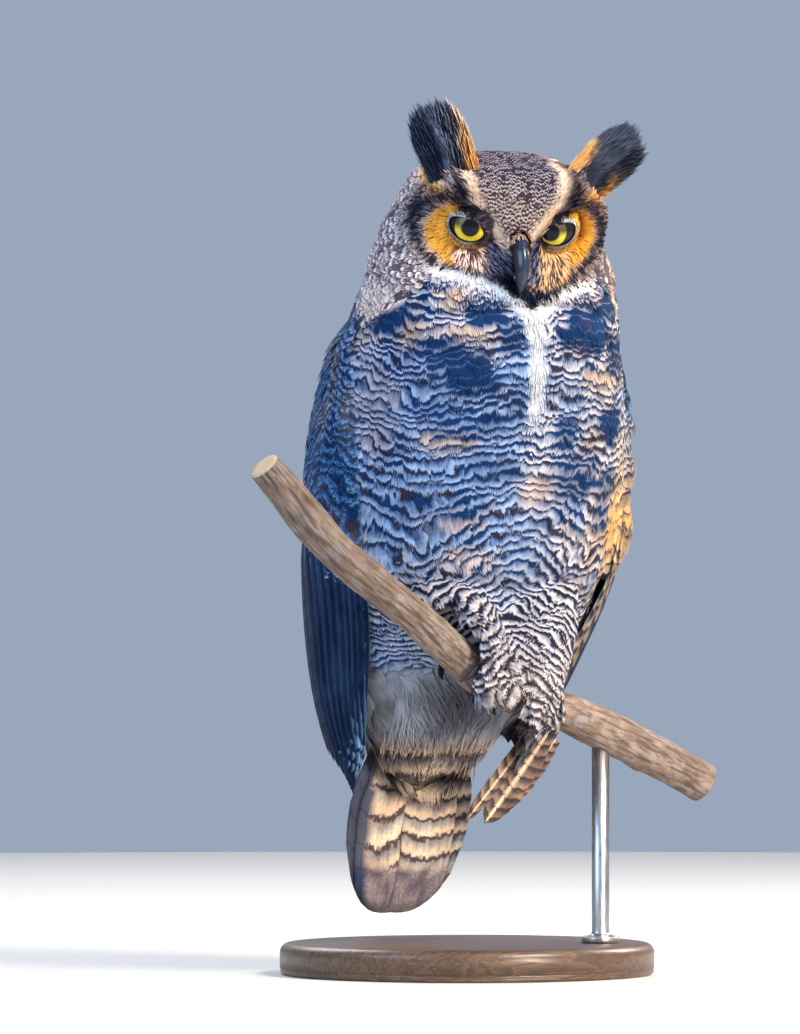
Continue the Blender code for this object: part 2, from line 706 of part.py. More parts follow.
def make_ball(name, centre, radius, material):
    """A ball of few faces, in the collection of the parts."""
    bpy.ops.mesh.primitive_uv_sphere_add(segments=10, ring_count=6, radius=radius, location=centre)
    ball = bpy.context.object
    ball.name = name
    ball.data.name = name
    ball.data.materials.append(material)
    for collection in list(ball.users_collection):
        collection.objects.unlink(ball)
    parts.objects.link(ball)
    return smooth(ball, 60)


def ankle_point(side):
    """The middle of the ankle, just above the branch."""
    return gripping_point(FOOT_ALONG[side], 0.0, 0, ANKLE_HEIGHT)


def make_foot(side, skin, horn):
    """The ankle with four feathered toes round the branch in one solid, and the four claws that follow them."""
    share = FOOT_ALONG[side]
    foot = make_ball(f"foot_{side}", ankle_point(side), ANKLE_RADIUS, skin)
    for number, (sideways, spread, first, last) in enumerate(TOES, 1):
        count = len(TOE_SHAPE)
        path = [
            gripping_point(
                share,
                sideways * (0.35 + 0.65 * i / (count - 1)) + spread * i / (count - 1),
                first + (last - first) * i / (count - 1),
                TOE_RADIUS,
            )
            for i in range(count)
        ]
        radii = [TOE_RADIUS * shape for shape in TOE_SHAPE]
        union(foot, tube(f"toe_{side}_{number}", path, radii, skin, 1))
        turn = CLAW_TURN if last > 0 else -CLAW_TURN
        start = last + (CLAW_START if last > 0 else -CLAW_START)
        hook = [
            gripping_point(
                share,
                sideways + spread * (1 + 0.25 * i / 4),
                start + turn * i / 4,
                TOE_RADIUS - 0.0016 * (i / 4) ** 2,
            )
            for i in range(5)
        ]
        tube(f"claw_{side}_{number}", hook, CLAW_RADII, horn, 1)


def make_grip_room():
    """The tunnel round the branch that the toes and claws need inside the feathers of the legs."""
    start, end = GRIP_ROOM
    shares = [start + (end - start) * i / 17 for i in range(18)]
    reach = [grip_radius(s) + 2 * TOE_RADIUS + 0.0008 for s in shares]
    return as_cutter(tube("grip_room", [branch_line(s) for s in shares], reach, None, 3))


def make_ankle_room(side):
    """The room for one ankle inside the feathers of the legs."""
    return as_cutter(make_ball(f"ankle_room_{side}", ankle_point(side), ANKLE_RADIUS + GAP, None))


# ---------------------------------------------------------------- the stand


def make_base(material):
    """A turned disc of wood with a rounded upper edge."""
    edge = BASE_EDGE
    profile = [(0.0, BASE_THICKNESS)]
    for k in range(5):
        angle = math.pi / 2 * (1 - k / 4)
        profile.append(
            (BASE_RADIUS - edge + edge * math.cos(angle), BASE_THICKNESS - edge + edge * math.sin(angle))
        )
    profile += [(BASE_RADIUS, BASE_CHAMFER), (BASE_RADIUS - BASE_CHAMFER, 0.0), (0.0, 0.0)]
    mesh = bpy.data.meshes.new("stand_base")
    mesh.from_pydata([(x, 0.0, z) for x, z in profile], [(i, i + 1) for i in range(len(profile) - 1)], [])
    base = add_object("stand_base", mesh, material)
    screw = base.modifiers.new("turned", "SCREW")
    screw.axis = "Z"
    screw.steps = screw.render_steps = 24
    screw.use_merge_vertices = True
    screw.merge_threshold = 0.0001
    screw.use_smooth_shade = True
    return base


def make_rod(material):
    """The steel rod from the base to the underside of the branch, with a small collar at its foot."""
    top = branch_line(ROD_ALONG)
    foot_height = BASE_THICKNESS + ROD_CLEARANCE
    collar = ROD_RADIUS * 2.2
    rings = []
    for height, radius in (
        (foot_height, collar),
        (foot_height + 0.004, collar),
        (foot_height + 0.006, ROD_RADIUS * 1.5),
        (foot_height + 0.0075, ROD_RADIUS),
        (top.z - ROD_INTO_BRANCH, ROD_RADIUS),
    ):
        turns = [2 * math.pi * i / 16 for i in range(16)]
        rings.append([Vector((top.x + radius * math.cos(a), top.y + radius * math.sin(a), height)) for a in turns])
    return loft("stand_rod", rings, material, tips=False)


# ---------------------------------------------------------------- the whole model


def main():
    clear_scene()
    plumage = finish_of("barred_plumage", (0.46, 0.37, 0.29), 0.9)
    mantle = finish_of("mottled_plumage", (0.17, 0.14, 0.13), 0.85)
    face = finish_of("face_plumage", (0.42, 0.25, 0.12), 0.9)
    tuft = finish_of("tuft_plumage", (0.06, 0.05, 0.055), 0.9)
    horn = finish_of("dark_horn", (0.03, 0.032, 0.04), 0.35)
    iris = finish_of("yellow_eye", (0.75, 0.55, 0.05), 0.08)
    bark = finish_of("bark", (0.25, 0.19, 0.15), 0.85)
    wood = finish_of("stained_wood", (0.11, 0.07, 0.045), 0.45)
    steel = finish_of("steel", (0.45, 0.45, 0.46), 0.3, 1.0)

    flesh = make_flesh()
    head = slice_of(flesh, "head", face, above=CHIN_PLANE)
    neck = slice_of(flesh, "neck", plumage, above=COLLAR_PLANE, below=CHIN_PLANE)
    trunk = slice_of(flesh, "trunk", plumage, below=COLLAR_PLANE)
    bpy.data.objects.remove(flesh)

    perch = make_branch(bark)
    rod = make_rod(steel)
    make_base(wood)
    seat(perch, rod)

    eyes = [make_eye(side, iris) for side in SIDES]
    upper = make_bill("bill_upper", UPPER_BILL, horn)
    lower = make_bill("bill_lower", LOWER_BILL, horn, rings=6)
    seat(lower, upper)
    tufts = [make_tuft(side, tuft) for side in SIDES]
    seat(head, *eyes, upper, lower, *tufts)

    tail = make_tail(mantle)
    legs = {side: make_leg(side, plumage) for side in SIDES}
    seat(legs["right"], legs["left"])
    seat(trunk, *legs.values())
    grip_rooms = [make_grip_room(), *(make_ankle_room(side) for side in SIDES)]
    for side in SIDES:
        coverts = make_wing_part(
            f"wing_{side}", side, WING_LEVELS[0][0], WING_PARTING + GAP, 10, 8, WING_THICKNESS, mantle
        )
        lowest = WING_LEVELS[-1][0]
        flight = make_wing_part(
            f"flight_feathers_{side}", side, WING_PARTING - GAP, lowest, 11, 7, FLIGHT_THICKNESS, mantle
        )
        make_foot(side, plumage, horn)
        seat(legs[side], *grip_rooms)
        seat(neck, coverts, gap=WING_GAP)
        seat(trunk, coverts, flight, gap=WING_GAP)
        seat(tail, flight)
    seat(trunk, tail)


main()
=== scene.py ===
# %% [markdown]
# # A great horned owl on a cut length of branch
# A museum shows a bird like this one still and life-size. Its solids give the true outline, out to the tips
# of the plumage. This script dresses them: one skin takes the place of the solids of flesh, and thousands of
# small feathers are laid over it like shingles. Eyes, bill, claws, branch and stand are finished one by one.

# %% Load the solids
import json
from functools import partial
from math import asin, atan2, ceil, cos, hypot, pi, radians, sin, sqrt

import bmesh
import bpy
import numpy as np
from mathutils import Matrix, Vector, noise
from mathutils.bvhtree import BVHTree

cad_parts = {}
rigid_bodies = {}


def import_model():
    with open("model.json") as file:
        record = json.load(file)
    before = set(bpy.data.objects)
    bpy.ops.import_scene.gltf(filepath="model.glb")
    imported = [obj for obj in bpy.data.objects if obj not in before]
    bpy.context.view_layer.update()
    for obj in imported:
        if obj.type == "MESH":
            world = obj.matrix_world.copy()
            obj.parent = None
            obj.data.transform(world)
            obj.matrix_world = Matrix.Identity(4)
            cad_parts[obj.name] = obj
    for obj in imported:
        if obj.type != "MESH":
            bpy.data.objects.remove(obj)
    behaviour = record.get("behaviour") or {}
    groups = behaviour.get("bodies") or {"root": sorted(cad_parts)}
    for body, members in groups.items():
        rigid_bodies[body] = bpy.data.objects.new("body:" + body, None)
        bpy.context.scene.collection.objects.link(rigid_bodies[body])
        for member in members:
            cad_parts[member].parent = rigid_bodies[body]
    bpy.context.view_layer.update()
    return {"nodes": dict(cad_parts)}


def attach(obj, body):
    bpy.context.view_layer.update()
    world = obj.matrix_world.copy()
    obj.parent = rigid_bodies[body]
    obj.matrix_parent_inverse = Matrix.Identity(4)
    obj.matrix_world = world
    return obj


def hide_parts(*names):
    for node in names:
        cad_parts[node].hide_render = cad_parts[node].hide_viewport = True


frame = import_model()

# %% [markdown]
# ## The stage
# The owl stands on a plain pale floor: a wide disc, so that its far edge stays low and the pale sky shows
# above.

# %% Floor and sky
scene = bpy.context.scene
scene.view_settings.view_transform = "Standard"


def set_inputs(node, **values):
    """Sets a node's unlinked inputs, with underscores in place of the spaces of their names."""
    for name, value in values.items():
        node.inputs[name.replace("_", " ")].default_value = value


def material_with(name, **values):
    """A new material whose shader has the given inputs."""
    made = bpy.data.materials.new(name)
    made.use_nodes = True
    set_inputs(made.node_tree.nodes["Principled BSDF"], **values)
    return made


def new_object(name, mesh, material=None):
    """Links a mesh to the scene as an object at the origin, unturned and unscaled."""
    thing = bpy.data.objects.new(name, mesh)
    scene.collection.objects.link(thing)
    if material is not None:
        mesh.materials.clear()
        mesh.materials.append(material)
    return thing


def finished(thing, *nodes):
    """Lets a piece ride on the body, in the place of solids if they are named."""
    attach(thing, "root")
    if nodes:
        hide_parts(*nodes)
    return thing


FLOOR_RADIUS = 2.2
turns = [2 * pi * k / 96 for k in range(96)]
floor_mesh = bpy.data.meshes.new("floor")
floor_mesh.from_pydata(
    [(FLOOR_RADIUS * cos(a), FLOOR_RADIUS * sin(a), 0.0) for a in turns], [], [list(range(96))]
)
floor_paint = material_with("pale_floor", Base_Color=(0.62, 0.62, 0.61, 1), Roughness=0.8)
floor = new_object("floor", floor_mesh, floor_paint)

world = bpy.data.worlds.new("studio")
world.use_nodes = True
set_inputs(world.node_tree.nodes["Background"], Color=(0.64, 0.77, 1.0, 1), Strength=0.5)
scene.world = world

# %% [markdown]
# The key lamp is warm and comes from the upper right, so that one flank glows; the fill from the left is
# cool, like light from a shaded sky. Two more lamps keep the back from going dark, and a narrow one lights
# the tail.

# %% Lamps
MIDDLE = Vector((0.0, 0.0, 0.29))


def lamp(name, azimuth, elevation, distance, size, power, colour, at=MIDDLE, spread=180):
    """A square soft lamp that faces the owl from a direction in degrees, 0 being straight in front."""
    turn, rise = radians(azimuth), radians(elevation)
    away = Vector((sin(turn) * cos(rise), -cos(turn) * cos(rise), sin(rise)))
    data = bpy.data.lights.new(name, "AREA")
    data.size, data.energy, data.color, data.spread = size, power, colour, radians(spread)
    made = bpy.data.objects.new(name, data)
    made.location = at + away * distance
    made.rotation_mode = "QUATERNION"
    made.rotation_quaternion = (-away).to_track_quat("-Z", "Y")
    scene.collection.objects.link(made)


WARM, COOL, WHITE_LIGHT = (1.0, 0.88, 0.72), (0.52, 0.74, 1.0), (1.0, 0.97, 0.94)
lamp("key_lamp", 26, 40, 1.9, 0.6, 56, WARM)
lamp("fill_lamp", -72, 22, 2.0, 1.2, 21, COOL)
lamp("tail_lamp", 14, 3, 1.5, 0.3, 0.36, WARM, Vector((0.0, 0.05, 0.09)), 13)
lamp("rim_lamp", 108, 26, 1.9, 0.6, 26, WARM)
lamp("back_lamp", 190, 40, 2.0, 1.2, 26, WHITE_LIGHT)

# %% [markdown]
# The camera looks level, from the owl's right front. It stands far off with a long lens, so there is almost
# no perspective.

# %% Camera
CAMERA_AZIMUTH = radians(-23)
CAMERA_DISTANCE = 6.0
VIEW_HEIGHT = 0.6514
FILM_LONG_SIDE = 36.0
to_camera = Vector((sin(CAMERA_AZIMUTH), -cos(CAMERA_AZIMUTH), 0.0))
to_the_right = Vector((cos(CAMERA_AZIMUTH), sin(CAMERA_AZIMUTH), 0.0))
aim = to_the_right * -0.0422 + Vector((0.0, 0.0, 0.288))

camera_data = bpy.data.cameras.new("camera")
camera_data.sensor_width = FILM_LONG_SIDE
camera_data.lens = FILM_LONG_SIDE * CAMERA_DISTANCE / VIEW_HEIGHT
camera_data.clip_end = 60.0
camera = bpy.data.objects.new("camera", camera_data)
camera.location = aim + to_camera * CAMERA_DISTANCE
camera.rotation_mode = "QUATERNION"
camera.rotation_quaternion = (-to_camera).to_track_quat("-Z", "Y")
scene.collection.objects.link(camera)
scene.camera = camera
print("lens in mm:", round(camera_data.lens))

# %% [markdown]
# ## Small tools
# The markings of an owl are soft: bars waver and patches run into each other. `fade` goes smoothly from 0 to
# 1 between two values, and `cloud` gives smooth random values in space, always the same for the same seed.

# %% Tools for soft markings


def fade(low, high, value):
    t = np.clip((np.asarray(value, float) - low) / (high - low), 0, 1)
    return t * t * (3 - 2 * t)


def bump_at(value, middle, width):
    return np.exp(-(((value - middle) / width) ** 2))


def cloud(points, size, seed):
    """Smooth random values, about -1 to 1, whose lumps have the given size in metres (one size or three)."""
    scaled = points / np.asarray(size) + 13.7 * (seed + 1)
    return np.array([noise.noise(row) for row in scaled.tolist()]) * 1.6


def blend(first, second, share):
    return first * (1 - share) + second * share


def mix(first, second, share):
    """Colours between two others, one for each share."""
    return blend(np.asarray(first), np.asarray(second), np.asarray(share)[..., None])


def columns(*values):
    """Rows from several values, each of which is one number or one for each point."""
    return np.stack(np.broadcast_arrays(*values), axis=-1).astype(float)


def unit(vectors):
    return vectors / np.maximum(np.linalg.norm(vectors, axis=1), 1e-9)[:, None]


def curve_through(table, at):
    """A smooth curve through rows of values, whose first column is the place, read at each place in at."""
    table = np.array(table, float)
    places, rows = table[:, 0], table[:, 1:]
    at = np.atleast_1d(np.asarray(at, float))
    slopes = np.gradient(rows, places, axis=0)
    upper = np.clip(np.searchsorted(places, at), 1, len(places) - 1)
    span = places[upper] - places[upper - 1]
    t = np.clip((at - places[upper - 1]) / span, 0, 1)[:, None]
    span = span[:, None]
    return (
        (2 * t**3 - 3 * t**2 + 1) * rows[upper - 1]
        + (t**3 - 2 * t**2 + t) * span * slopes[upper - 1]
        + (3 * t**2 - 2 * t**3) * rows[upper]
        + (t**3 - t**2) * span * slopes[upper]
    )


# %% [markdown]
# ## The skin
# Under its feathers an owl is one smooth body. The solids of flesh are copied and swollen a little so that
# they overlap, and a voxel remesh melts them into one closed surface. A boolean union would keep every
# facet; the remesh gives even, smooth faces to plant feathers on.

# %% Melt the solids of flesh into one
FLESH = ("head", "neck", "trunk", "leg_left", "leg_right", "foot_left", "foot_right", "wing_left", "wing_right")
SWELL = 0.0009
VOXEL = 0.0023


def welded(node):
    """A solid's mesh as a bmesh with its loose triangles merged."""
    bm = bmesh.new()
    bm.from_mesh(frame["nodes"][node].data)
    bmesh.ops.remove_doubles(bm, verts=bm.verts, dist=1e-5)
    bm.normal_update()
    return bm


def stump_of(node, root, towards, length):
    """The lowest part of an ear tuft, which plugs the pocket that it leaves in the head."""
    bm = welded(node)
    geometry = bm.verts[:] + bm.edges[:] + bm.faces[:]
    bmesh.ops.bisect_plane(bm, geom=geometry, plane_co=root + towards * length, plane_no=towards, clear_outer=True)
    bmesh.ops.contextual_create(bm, geom=[edge for edge in bm.edges if edge.is_boundary])
    bm.normal_update()
    return bm


def swollen_arrays(bm):
    corners = np.array([v.co + v.normal * SWELL for v in bm.verts])
    bmesh.ops.triangulate(bm, faces=bm.faces)
    bm.verts.index_update()
    faces = np.array([[v.index for v in face.verts] for face in bm.faces])
    bm.free()
    return corners, faces


HEAD_CENTRE = Vector((0.001, -0.052, 0.4795))
HEAD_FRAME = (
    Matrix.Translation(HEAD_CENTRE)
    @ Matrix.Rotation(radians(-9.5), 4, "Z")
    @ Matrix.Rotation(radians(20), 4, "X")
    @ Matrix.Rotation(radians(1.6), 4, "Y")
)
TO_HEAD = np.array(HEAD_FRAME.inverted())
HEAD_TURN = np.array(HEAD_FRAME.to_3x3())
TUFT_ENDS = {
    "right": (Vector((-0.034, -0.03, 0.0165)), Vector((-0.06, -0.004, 0.0745))),
    "left": (Vector((0.035, -0.03, 0.018)), Vector((0.089, -0.004, 0.0545))),
}

pieces = [swollen_arrays(welded(node)) for node in FLESH]
labels = [np.full(len(faces), number) for number, (_, faces) in enumerate(pieces)]
for side, (root, tip) in TUFT_ENDS.items():
    low, high = HEAD_FRAME @ root, HEAD_FRAME @ tip
    pieces.append(swollen_arrays(stump_of(f"ear_tuft_{side}", low, (high - low).normalized(), 0.016)))
    labels.append(np.full(len(pieces[-1][1]), FLESH.index("head")))
starts = np.cumsum([0] + [len(corners) for corners, _ in pieces])
solid_points = np.concatenate([corners for corners, _ in pieces])
solid_faces = np.concatenate([faces + start for (_, faces), start in zip(pieces, starts)])
solid_labels = np.concatenate(labels)


def mesh_from(name, points, faces):
    mesh = bpy.data.meshes.new(name)
    mesh.from_pydata(points.tolist(), [], faces.tolist() if hasattr(faces, "tolist") else faces)
    mesh.update()
    return mesh


def at_corners(mesh, values):
    """Values of points, handed to the corners of the mesh's faces."""
    numbers = np.empty(len(mesh.loops), dtype=np.int32)
    mesh.loops.foreach_get("vertex_index", numbers)
    return np.asarray(values)[numbers]


def write_uv(mesh, name, values):
    layer = mesh.uv_layers.get(name) or mesh.uv_layers.new(name=name)
    layer.uv.foreach_set("vector", np.ascontiguousarray(values, dtype=np.float32).ravel())


def read_uv(mesh, name):
    flat = np.empty(len(mesh.loops) * 2, dtype=np.float32)
    mesh.uv_layers[name].uv.foreach_get("vector", flat)
    return flat.reshape(-1, 2)


def write_attribute(mesh, name, values, kind="FLOAT_VECTOR", domain="POINT"):
    made = mesh.attributes.new(name, kind, domain)
    field = "vector" if kind == "FLOAT_VECTOR" else "value"
    made.data.foreach_set(field, np.ascontiguousarray(values, dtype=np.float32).ravel())


def triangles(mesh):
    return sum(len(face.vertices) - 2 for face in mesh.polygons)


def applied(thing):
    """A plain mesh of the object as its modifiers make it, in place of the object."""
    bpy.context.view_layer.update()
    made = bpy.data.meshes.new_from_object(thing.evaluated_get(bpy.context.evaluated_depsgraph_get()))
    name = thing.name
    bpy.data.objects.remove(thing)
    made.name = name
    return made


lump = new_object("lump", mesh_from("lump", solid_points, solid_faces))
remesh = lump.modifiers.new("melt", "REMESH")
remesh.mode, remesh.voxel_size = "VOXEL", VOXEL
lump_mesh = applied(lump)


def points_of(mesh):
    flat = np.empty(len(mesh.vertices) * 3)
    mesh.vertices.foreach_get("co", flat)
    return flat.reshape(-1, 3)


def largest_piece(points, quads):
    """Drops the loose bubbles that the remesh leaves inside, and keeps the one big surface."""
    group = np.arange(len(points))
    while True:
        lowest = group[quads].min(axis=1)
        nearer = group.copy()
        np.minimum.at(nearer, quads.ravel(), np.repeat(lowest, 4))
        nearer = nearer[nearer]
        if (nearer == group).all():
            break
        group = nearer
    names, counts = np.unique(group, return_counts=True)
    kept = group == names[counts.argmax()]
    number = np.cumsum(kept) - 1
    return points[kept], number[quads[kept[quads].all(axis=1)]]


skin_faces = np.array([face.vertices[:] for face in lump_mesh.polygons])
skin_points, skin_faces = largest_piece(points_of(lump_mesh), skin_faces)
print("skin:", len(skin_points), "points,", len(skin_faces), "faces")

# %% [markdown]
# Each point of the skin asks which solid it came from, so that wings, legs and head can be feathered each in
# their own way. The skin is then smoothed, and drawn in by the depth of the coat: little on the face and the
# toes, more on the body.

# %% Name the skin's places, smooth it and draw it in
nearest_solid = BVHTree.FromPolygons(solid_points.tolist(), solid_faces.tolist())
skin_label = solid_labels[[nearest_solid.find_nearest(Vector(p))[2] for p in skin_points.tolist()]]
skin_edges = np.stack([skin_faces, np.roll(skin_faces, -1, axis=1)], axis=-1).reshape(-1, 2)
skin_edges = np.unique(np.sort(skin_edges), axis=0)
edge_count = np.bincount(skin_edges.ravel(), minlength=len(skin_points))


def spread(values, rounds, share=0.5):
    """Lets each point of the skin take on its neighbours' mean, over and over."""
    values = np.array(values, float)
    flat = values.reshape(len(values), -1)
    for _ in range(rounds):
        total = np.stack(
            [
                np.bincount(skin_edges[:, 0], column[skin_edges[:, 1]], len(flat))
                + np.bincount(skin_edges[:, 1], column[skin_edges[:, 0]], len(flat))
                for column in flat.T
            ],
            axis=1,
        )
        flat = flat * (1 - share) + share * total / edge_count[:, None]
    return flat.reshape(values.shape)


def normals_of(points):
    a, b, c, d = (points[skin_faces[:, k]] for k in range(4))
    face_normals = np.cross(c - a, d - b)
    total = np.zeros_like(points)
    for k in range(4):
        for axis in range(3):
            total[:, axis] += np.bincount(skin_faces[:, k], face_normals[:, axis], len(points))
    return unit(total)


part_of = {node: spread(skin_label == number, 3) for number, node in enumerate(FLESH)}
in_head = (skin_points @ TO_HEAD[:3, :3].T) + TO_HEAD[:3, 3]
on_face = part_of["head"] * fade(0.012, 0.03, -in_head[:, 1])
on_feet = part_of["foot_left"] + part_of["foot_right"]
on_legs = part_of["leg_left"] + part_of["leg_right"]
on_wings = part_of["wing_left"] + part_of["wing_right"]
DEPTHS = {"body": 0.0052, "head": 0.003, "face": 0.0014, "legs": 0.0034, "feet": 0.0006, "wings": 0.004}
coat_depth = DEPTHS["body"] + (DEPTHS["head"] - DEPTHS["body"]) * part_of["head"]
coat_depth += (DEPTHS["face"] - DEPTHS["head"]) * on_face
coat_depth += (DEPTHS["legs"] - DEPTHS["body"]) * on_legs
coat_depth += (DEPTHS["feet"] - DEPTHS["body"]) * on_feet
coat_depth += (DEPTHS["wings"] - DEPTHS["body"]) * on_wings

calm = 1 - np.clip(on_face + on_feet, 0, 1)[:, None] * 0.75
smoothed = skin_points * (1 - calm) + spread(skin_points, 14) * calm
smoothed = spread(smoothed, 3)
STEPS = 4
for _ in range(STEPS):
    smoothed = smoothed - normals_of(smoothed) * ((coat_depth + SWELL) / STEPS)[:, None]
    smoothed = spread(smoothed, 1, 0.4)
skin_points = smoothed
skin_normals = unit(spread(normals_of(skin_points), 4))
print("drawn in by", round(1000 * coat_depth.min(), 1), "to", round(1000 * coat_depth.max(), 1), "mm")

# %% [markdown]
# ## Where the markings lie
# A feather artist first draws a map of the bird. This one is made of named places and lines. On the head
# they are given in the head's own frame, from its middle: across, back and up, the same for both halves. The
# map is a function of any points, because it is read for the skin of the head and of the body alike.

# %% The map of the head
EYE_PLACE = (0.0275, 0.002)  # across and up
FACE_SHIFT = -0.0022  # the middle of the face lies a little to the owl's right of the head's middle
DISC_PLACE, DISC_SIZE = (0.0335, -0.003), (0.0205, 0.0195)
BROW_FOOT, BROW_BEND, BROW_TOP = (0.007, -0.0065), (0.028, 0.0205), (0.034, 0.04)
BIB_APEX, BIB_BEND = 0.408, 0.028
BIB_RISE = {"right": 0.036, "left": 0.03}


def bib_height(x):
    """The height of the middle of the white bib, a V whose arms bend outwards."""
    rise = np.where(x < 0, BIB_RISE["right"], BIB_RISE["left"])
    return BIB_APEX + rise * (1 - np.exp(-np.abs(x) / BIB_BEND))


def bib_half_width(x):
    return 0.0036 + 0.0022 * np.exp(-((x / 0.01) ** 2))


def line_side(across, up, start, end):
    """How far a point lies on the crown's side of the line from start to end."""
    run = np.array((end[0] - start[0], end[1] - start[1]))
    run = run / np.linalg.norm(run)
    return -(across - start[0]) * run[1] + (up - start[1]) * run[0]


def head_map(points):
    """Shares from 0 to 1 of the places on the head, at points in the model's frame."""
    x, _, z = points.T
    from_left, back, up = (points @ TO_HEAD[:3, :3].T + TO_HEAD[:3, 3]).T
    off_middle = from_left - FACE_SHIFT
    across = np.abs(off_middle)
    in_front = fade(0.004, -0.012, back) * fade(-0.054, -0.048, up)
    upper_line = line_side(across, up, BROW_BEND, BROW_TOP)
    lower_line = line_side(across, up, BROW_FOOT, BROW_BEND)
    ragged_line = 0.0007 * cloud(points, 0.004, 9)
    above_brow = np.where(up > BROW_BEND[1], upper_line, lower_line) + ragged_line
    above_chin = z - bib_height(x) - bib_half_width(x) + ragged_line
    disc_radius = np.hypot((across - DISC_PLACE[0]) / DISC_SIZE[0], (up - DISC_PLACE[1]) / DISC_SIZE[1])

    crown = fade(-0.0005, 0.0025, above_brow) * fade(-0.012, 0.0, up + np.maximum(back, 0) * 0.6)
    dark_brow = bump_at(above_brow, -0.0052, 0.0036) * in_front * fade(-0.008, -0.001, up)
    chin_top = 0.004 + 0.0135 * bump_at(off_middle, 0.0035, 0.013)
    chin = fade(chin_top + 0.001, chin_top - 0.001, above_chin) * fade(-0.0008, 0.0004, above_chin)
    chin = chin * (across < 0.042)
    moustache = fade(-0.009, -0.015, up) * fade(0.04, 0.034, across) * (1 - chin)
    below_bill = fade(0.011, 0.005, across) * fade(-0.026, -0.018, up)
    patch = np.exp(-(((across - 0.0475) / 0.0085) ** 2) - ((up - 0.0205) / 0.005) ** 2)
    return dict(
        across=across,
        side=np.sign(off_middle),
        off=off_middle,
        back=back,
        up=up,
        crown=crown,
        brow_line=bump_at(above_brow, 0.0013, 0.0027) * in_front * (up > -0.01),
        disc=fade(1.05, 0.97, disc_radius) * in_front * (1 - crown),
        rim=bump_at(disc_radius, 1.24, 0.2) * in_front * (1 - crown) * fade(0.014, 0.026, across),
        dark_brow=dark_brow * (across < 0.045),
        lores=fade(0.0205, 0.015, across) * in_front * (1 - crown) * fade(-0.033, -0.027, up),
        moustache=moustache * in_front * (1 - below_bill),
        chin=chin * fade(0.012, -0.004, back),
        orange_patch=patch * fade(0.02, 0.0, back),
    )


x, y, z = skin_points.T
grown = head_map(skin_points)
above_bib = z - bib_height(x) + 1.2 * np.maximum(np.abs(x) - 0.056, 0)
lower_end = blend(
    fade(-0.06, -0.045, grown["up"]), fade(-0.001, 0.001, above_bib), fade(0.0, -0.03, y)
)
on_head = np.clip(part_of["head"] + part_of["neck"], 0, 1) * lower_end
print("share of the head that is disc:", round(float(grown["disc"].sum() / on_head.sum()), 2))

# %% [markdown]
# On the body the places are given in the model's frame: a white V under the chin, a white line down from its
# point, and dark blotches on both sides, each a soft oval with a ragged edge.

# %% The map of the body
BLOTCHES = (  # across, height, half width, half height, strength
    (-0.078, 0.411, 0.01, 0.01, 1.0),
    (-0.03, 0.413, 0.013, 0.0085, 1.0),
    (-0.054, 0.388, 0.018, 0.009, 0.9),
    (-0.014, 0.399, 0.009, 0.011, 0.8),
    (-0.038, 0.376, 0.019, 0.012, 1.0),
    (-0.058, 0.353, 0.018, 0.007, 0.6),
    (0.04, 0.404, 0.022, 0.018, 1.0),
    (0.06, 0.418, 0.013, 0.012, 0.9),
    (0.068, 0.39, 0.013, 0.014, 0.85),
    (0.061, 0.345, 0.012, 0.012, 1.0),
    (0.026, 0.342, 0.01, 0.011, 0.7),
    (0.036, 0.311, 0.018, 0.018, 0.62),
    (-0.04, 0.343, 0.022, 0.006, 0.5),
    (-0.02, 0.318, 0.022, 0.009, 0.55),
    (-0.05, 0.292, 0.026, 0.008, 0.45),
    (0.064, 0.3, 0.009, 0.022, 0.6),
    (-0.01, 0.356, 0.01, 0.012, 0.55),
)
BUFF_PATCHES = (
    (-0.088, 0.408, 0.01, 0.011, 1.0),
    (-0.046, 0.424, 0.01, 0.008, 0.9),
    (-0.043, 0.402, 0.015, 0.0065, 0.85),
    (-0.07, 0.404, 0.008, 0.009, 0.9),
    (-0.048, 0.335, 0.018, 0.008, 0.8),
    (0.056, 0.374, 0.022, 0.008, 0.8),
    (-0.084, 0.352, 0.01, 0.03, 0.5),
    (0.047, 0.422, 0.006, 0.008, 0.7),
    (0.04, 0.326, 0.01, 0.008, 0.6),
    (0.008, 0.305, 0.012, 0.012, 0.7),
    (-0.04, 0.285, 0.02, 0.007, 0.6),
    (0.06, 0.28, 0.01, 0.022, 0.7),
    (-0.028, 0.262, 0.02, 0.007, 0.6),
)


def patches(points, table):
    """Soft ovals on the front of the body, with ragged edges, the strongest at each place."""
    x, y, z = points.T
    total, ragged = np.zeros(len(x)), cloud(points, (0.008, 0.008, 0.012), 1)
    for at_x, at_z, wide, high, strength in table:
        away = np.hypot((x - at_x) / wide, (z - at_z) / high) + 0.3 * ragged
        total = np.maximum(total, strength * fade(1.35, 0.65, away))
    return total * fade(0.015, -0.01, y)


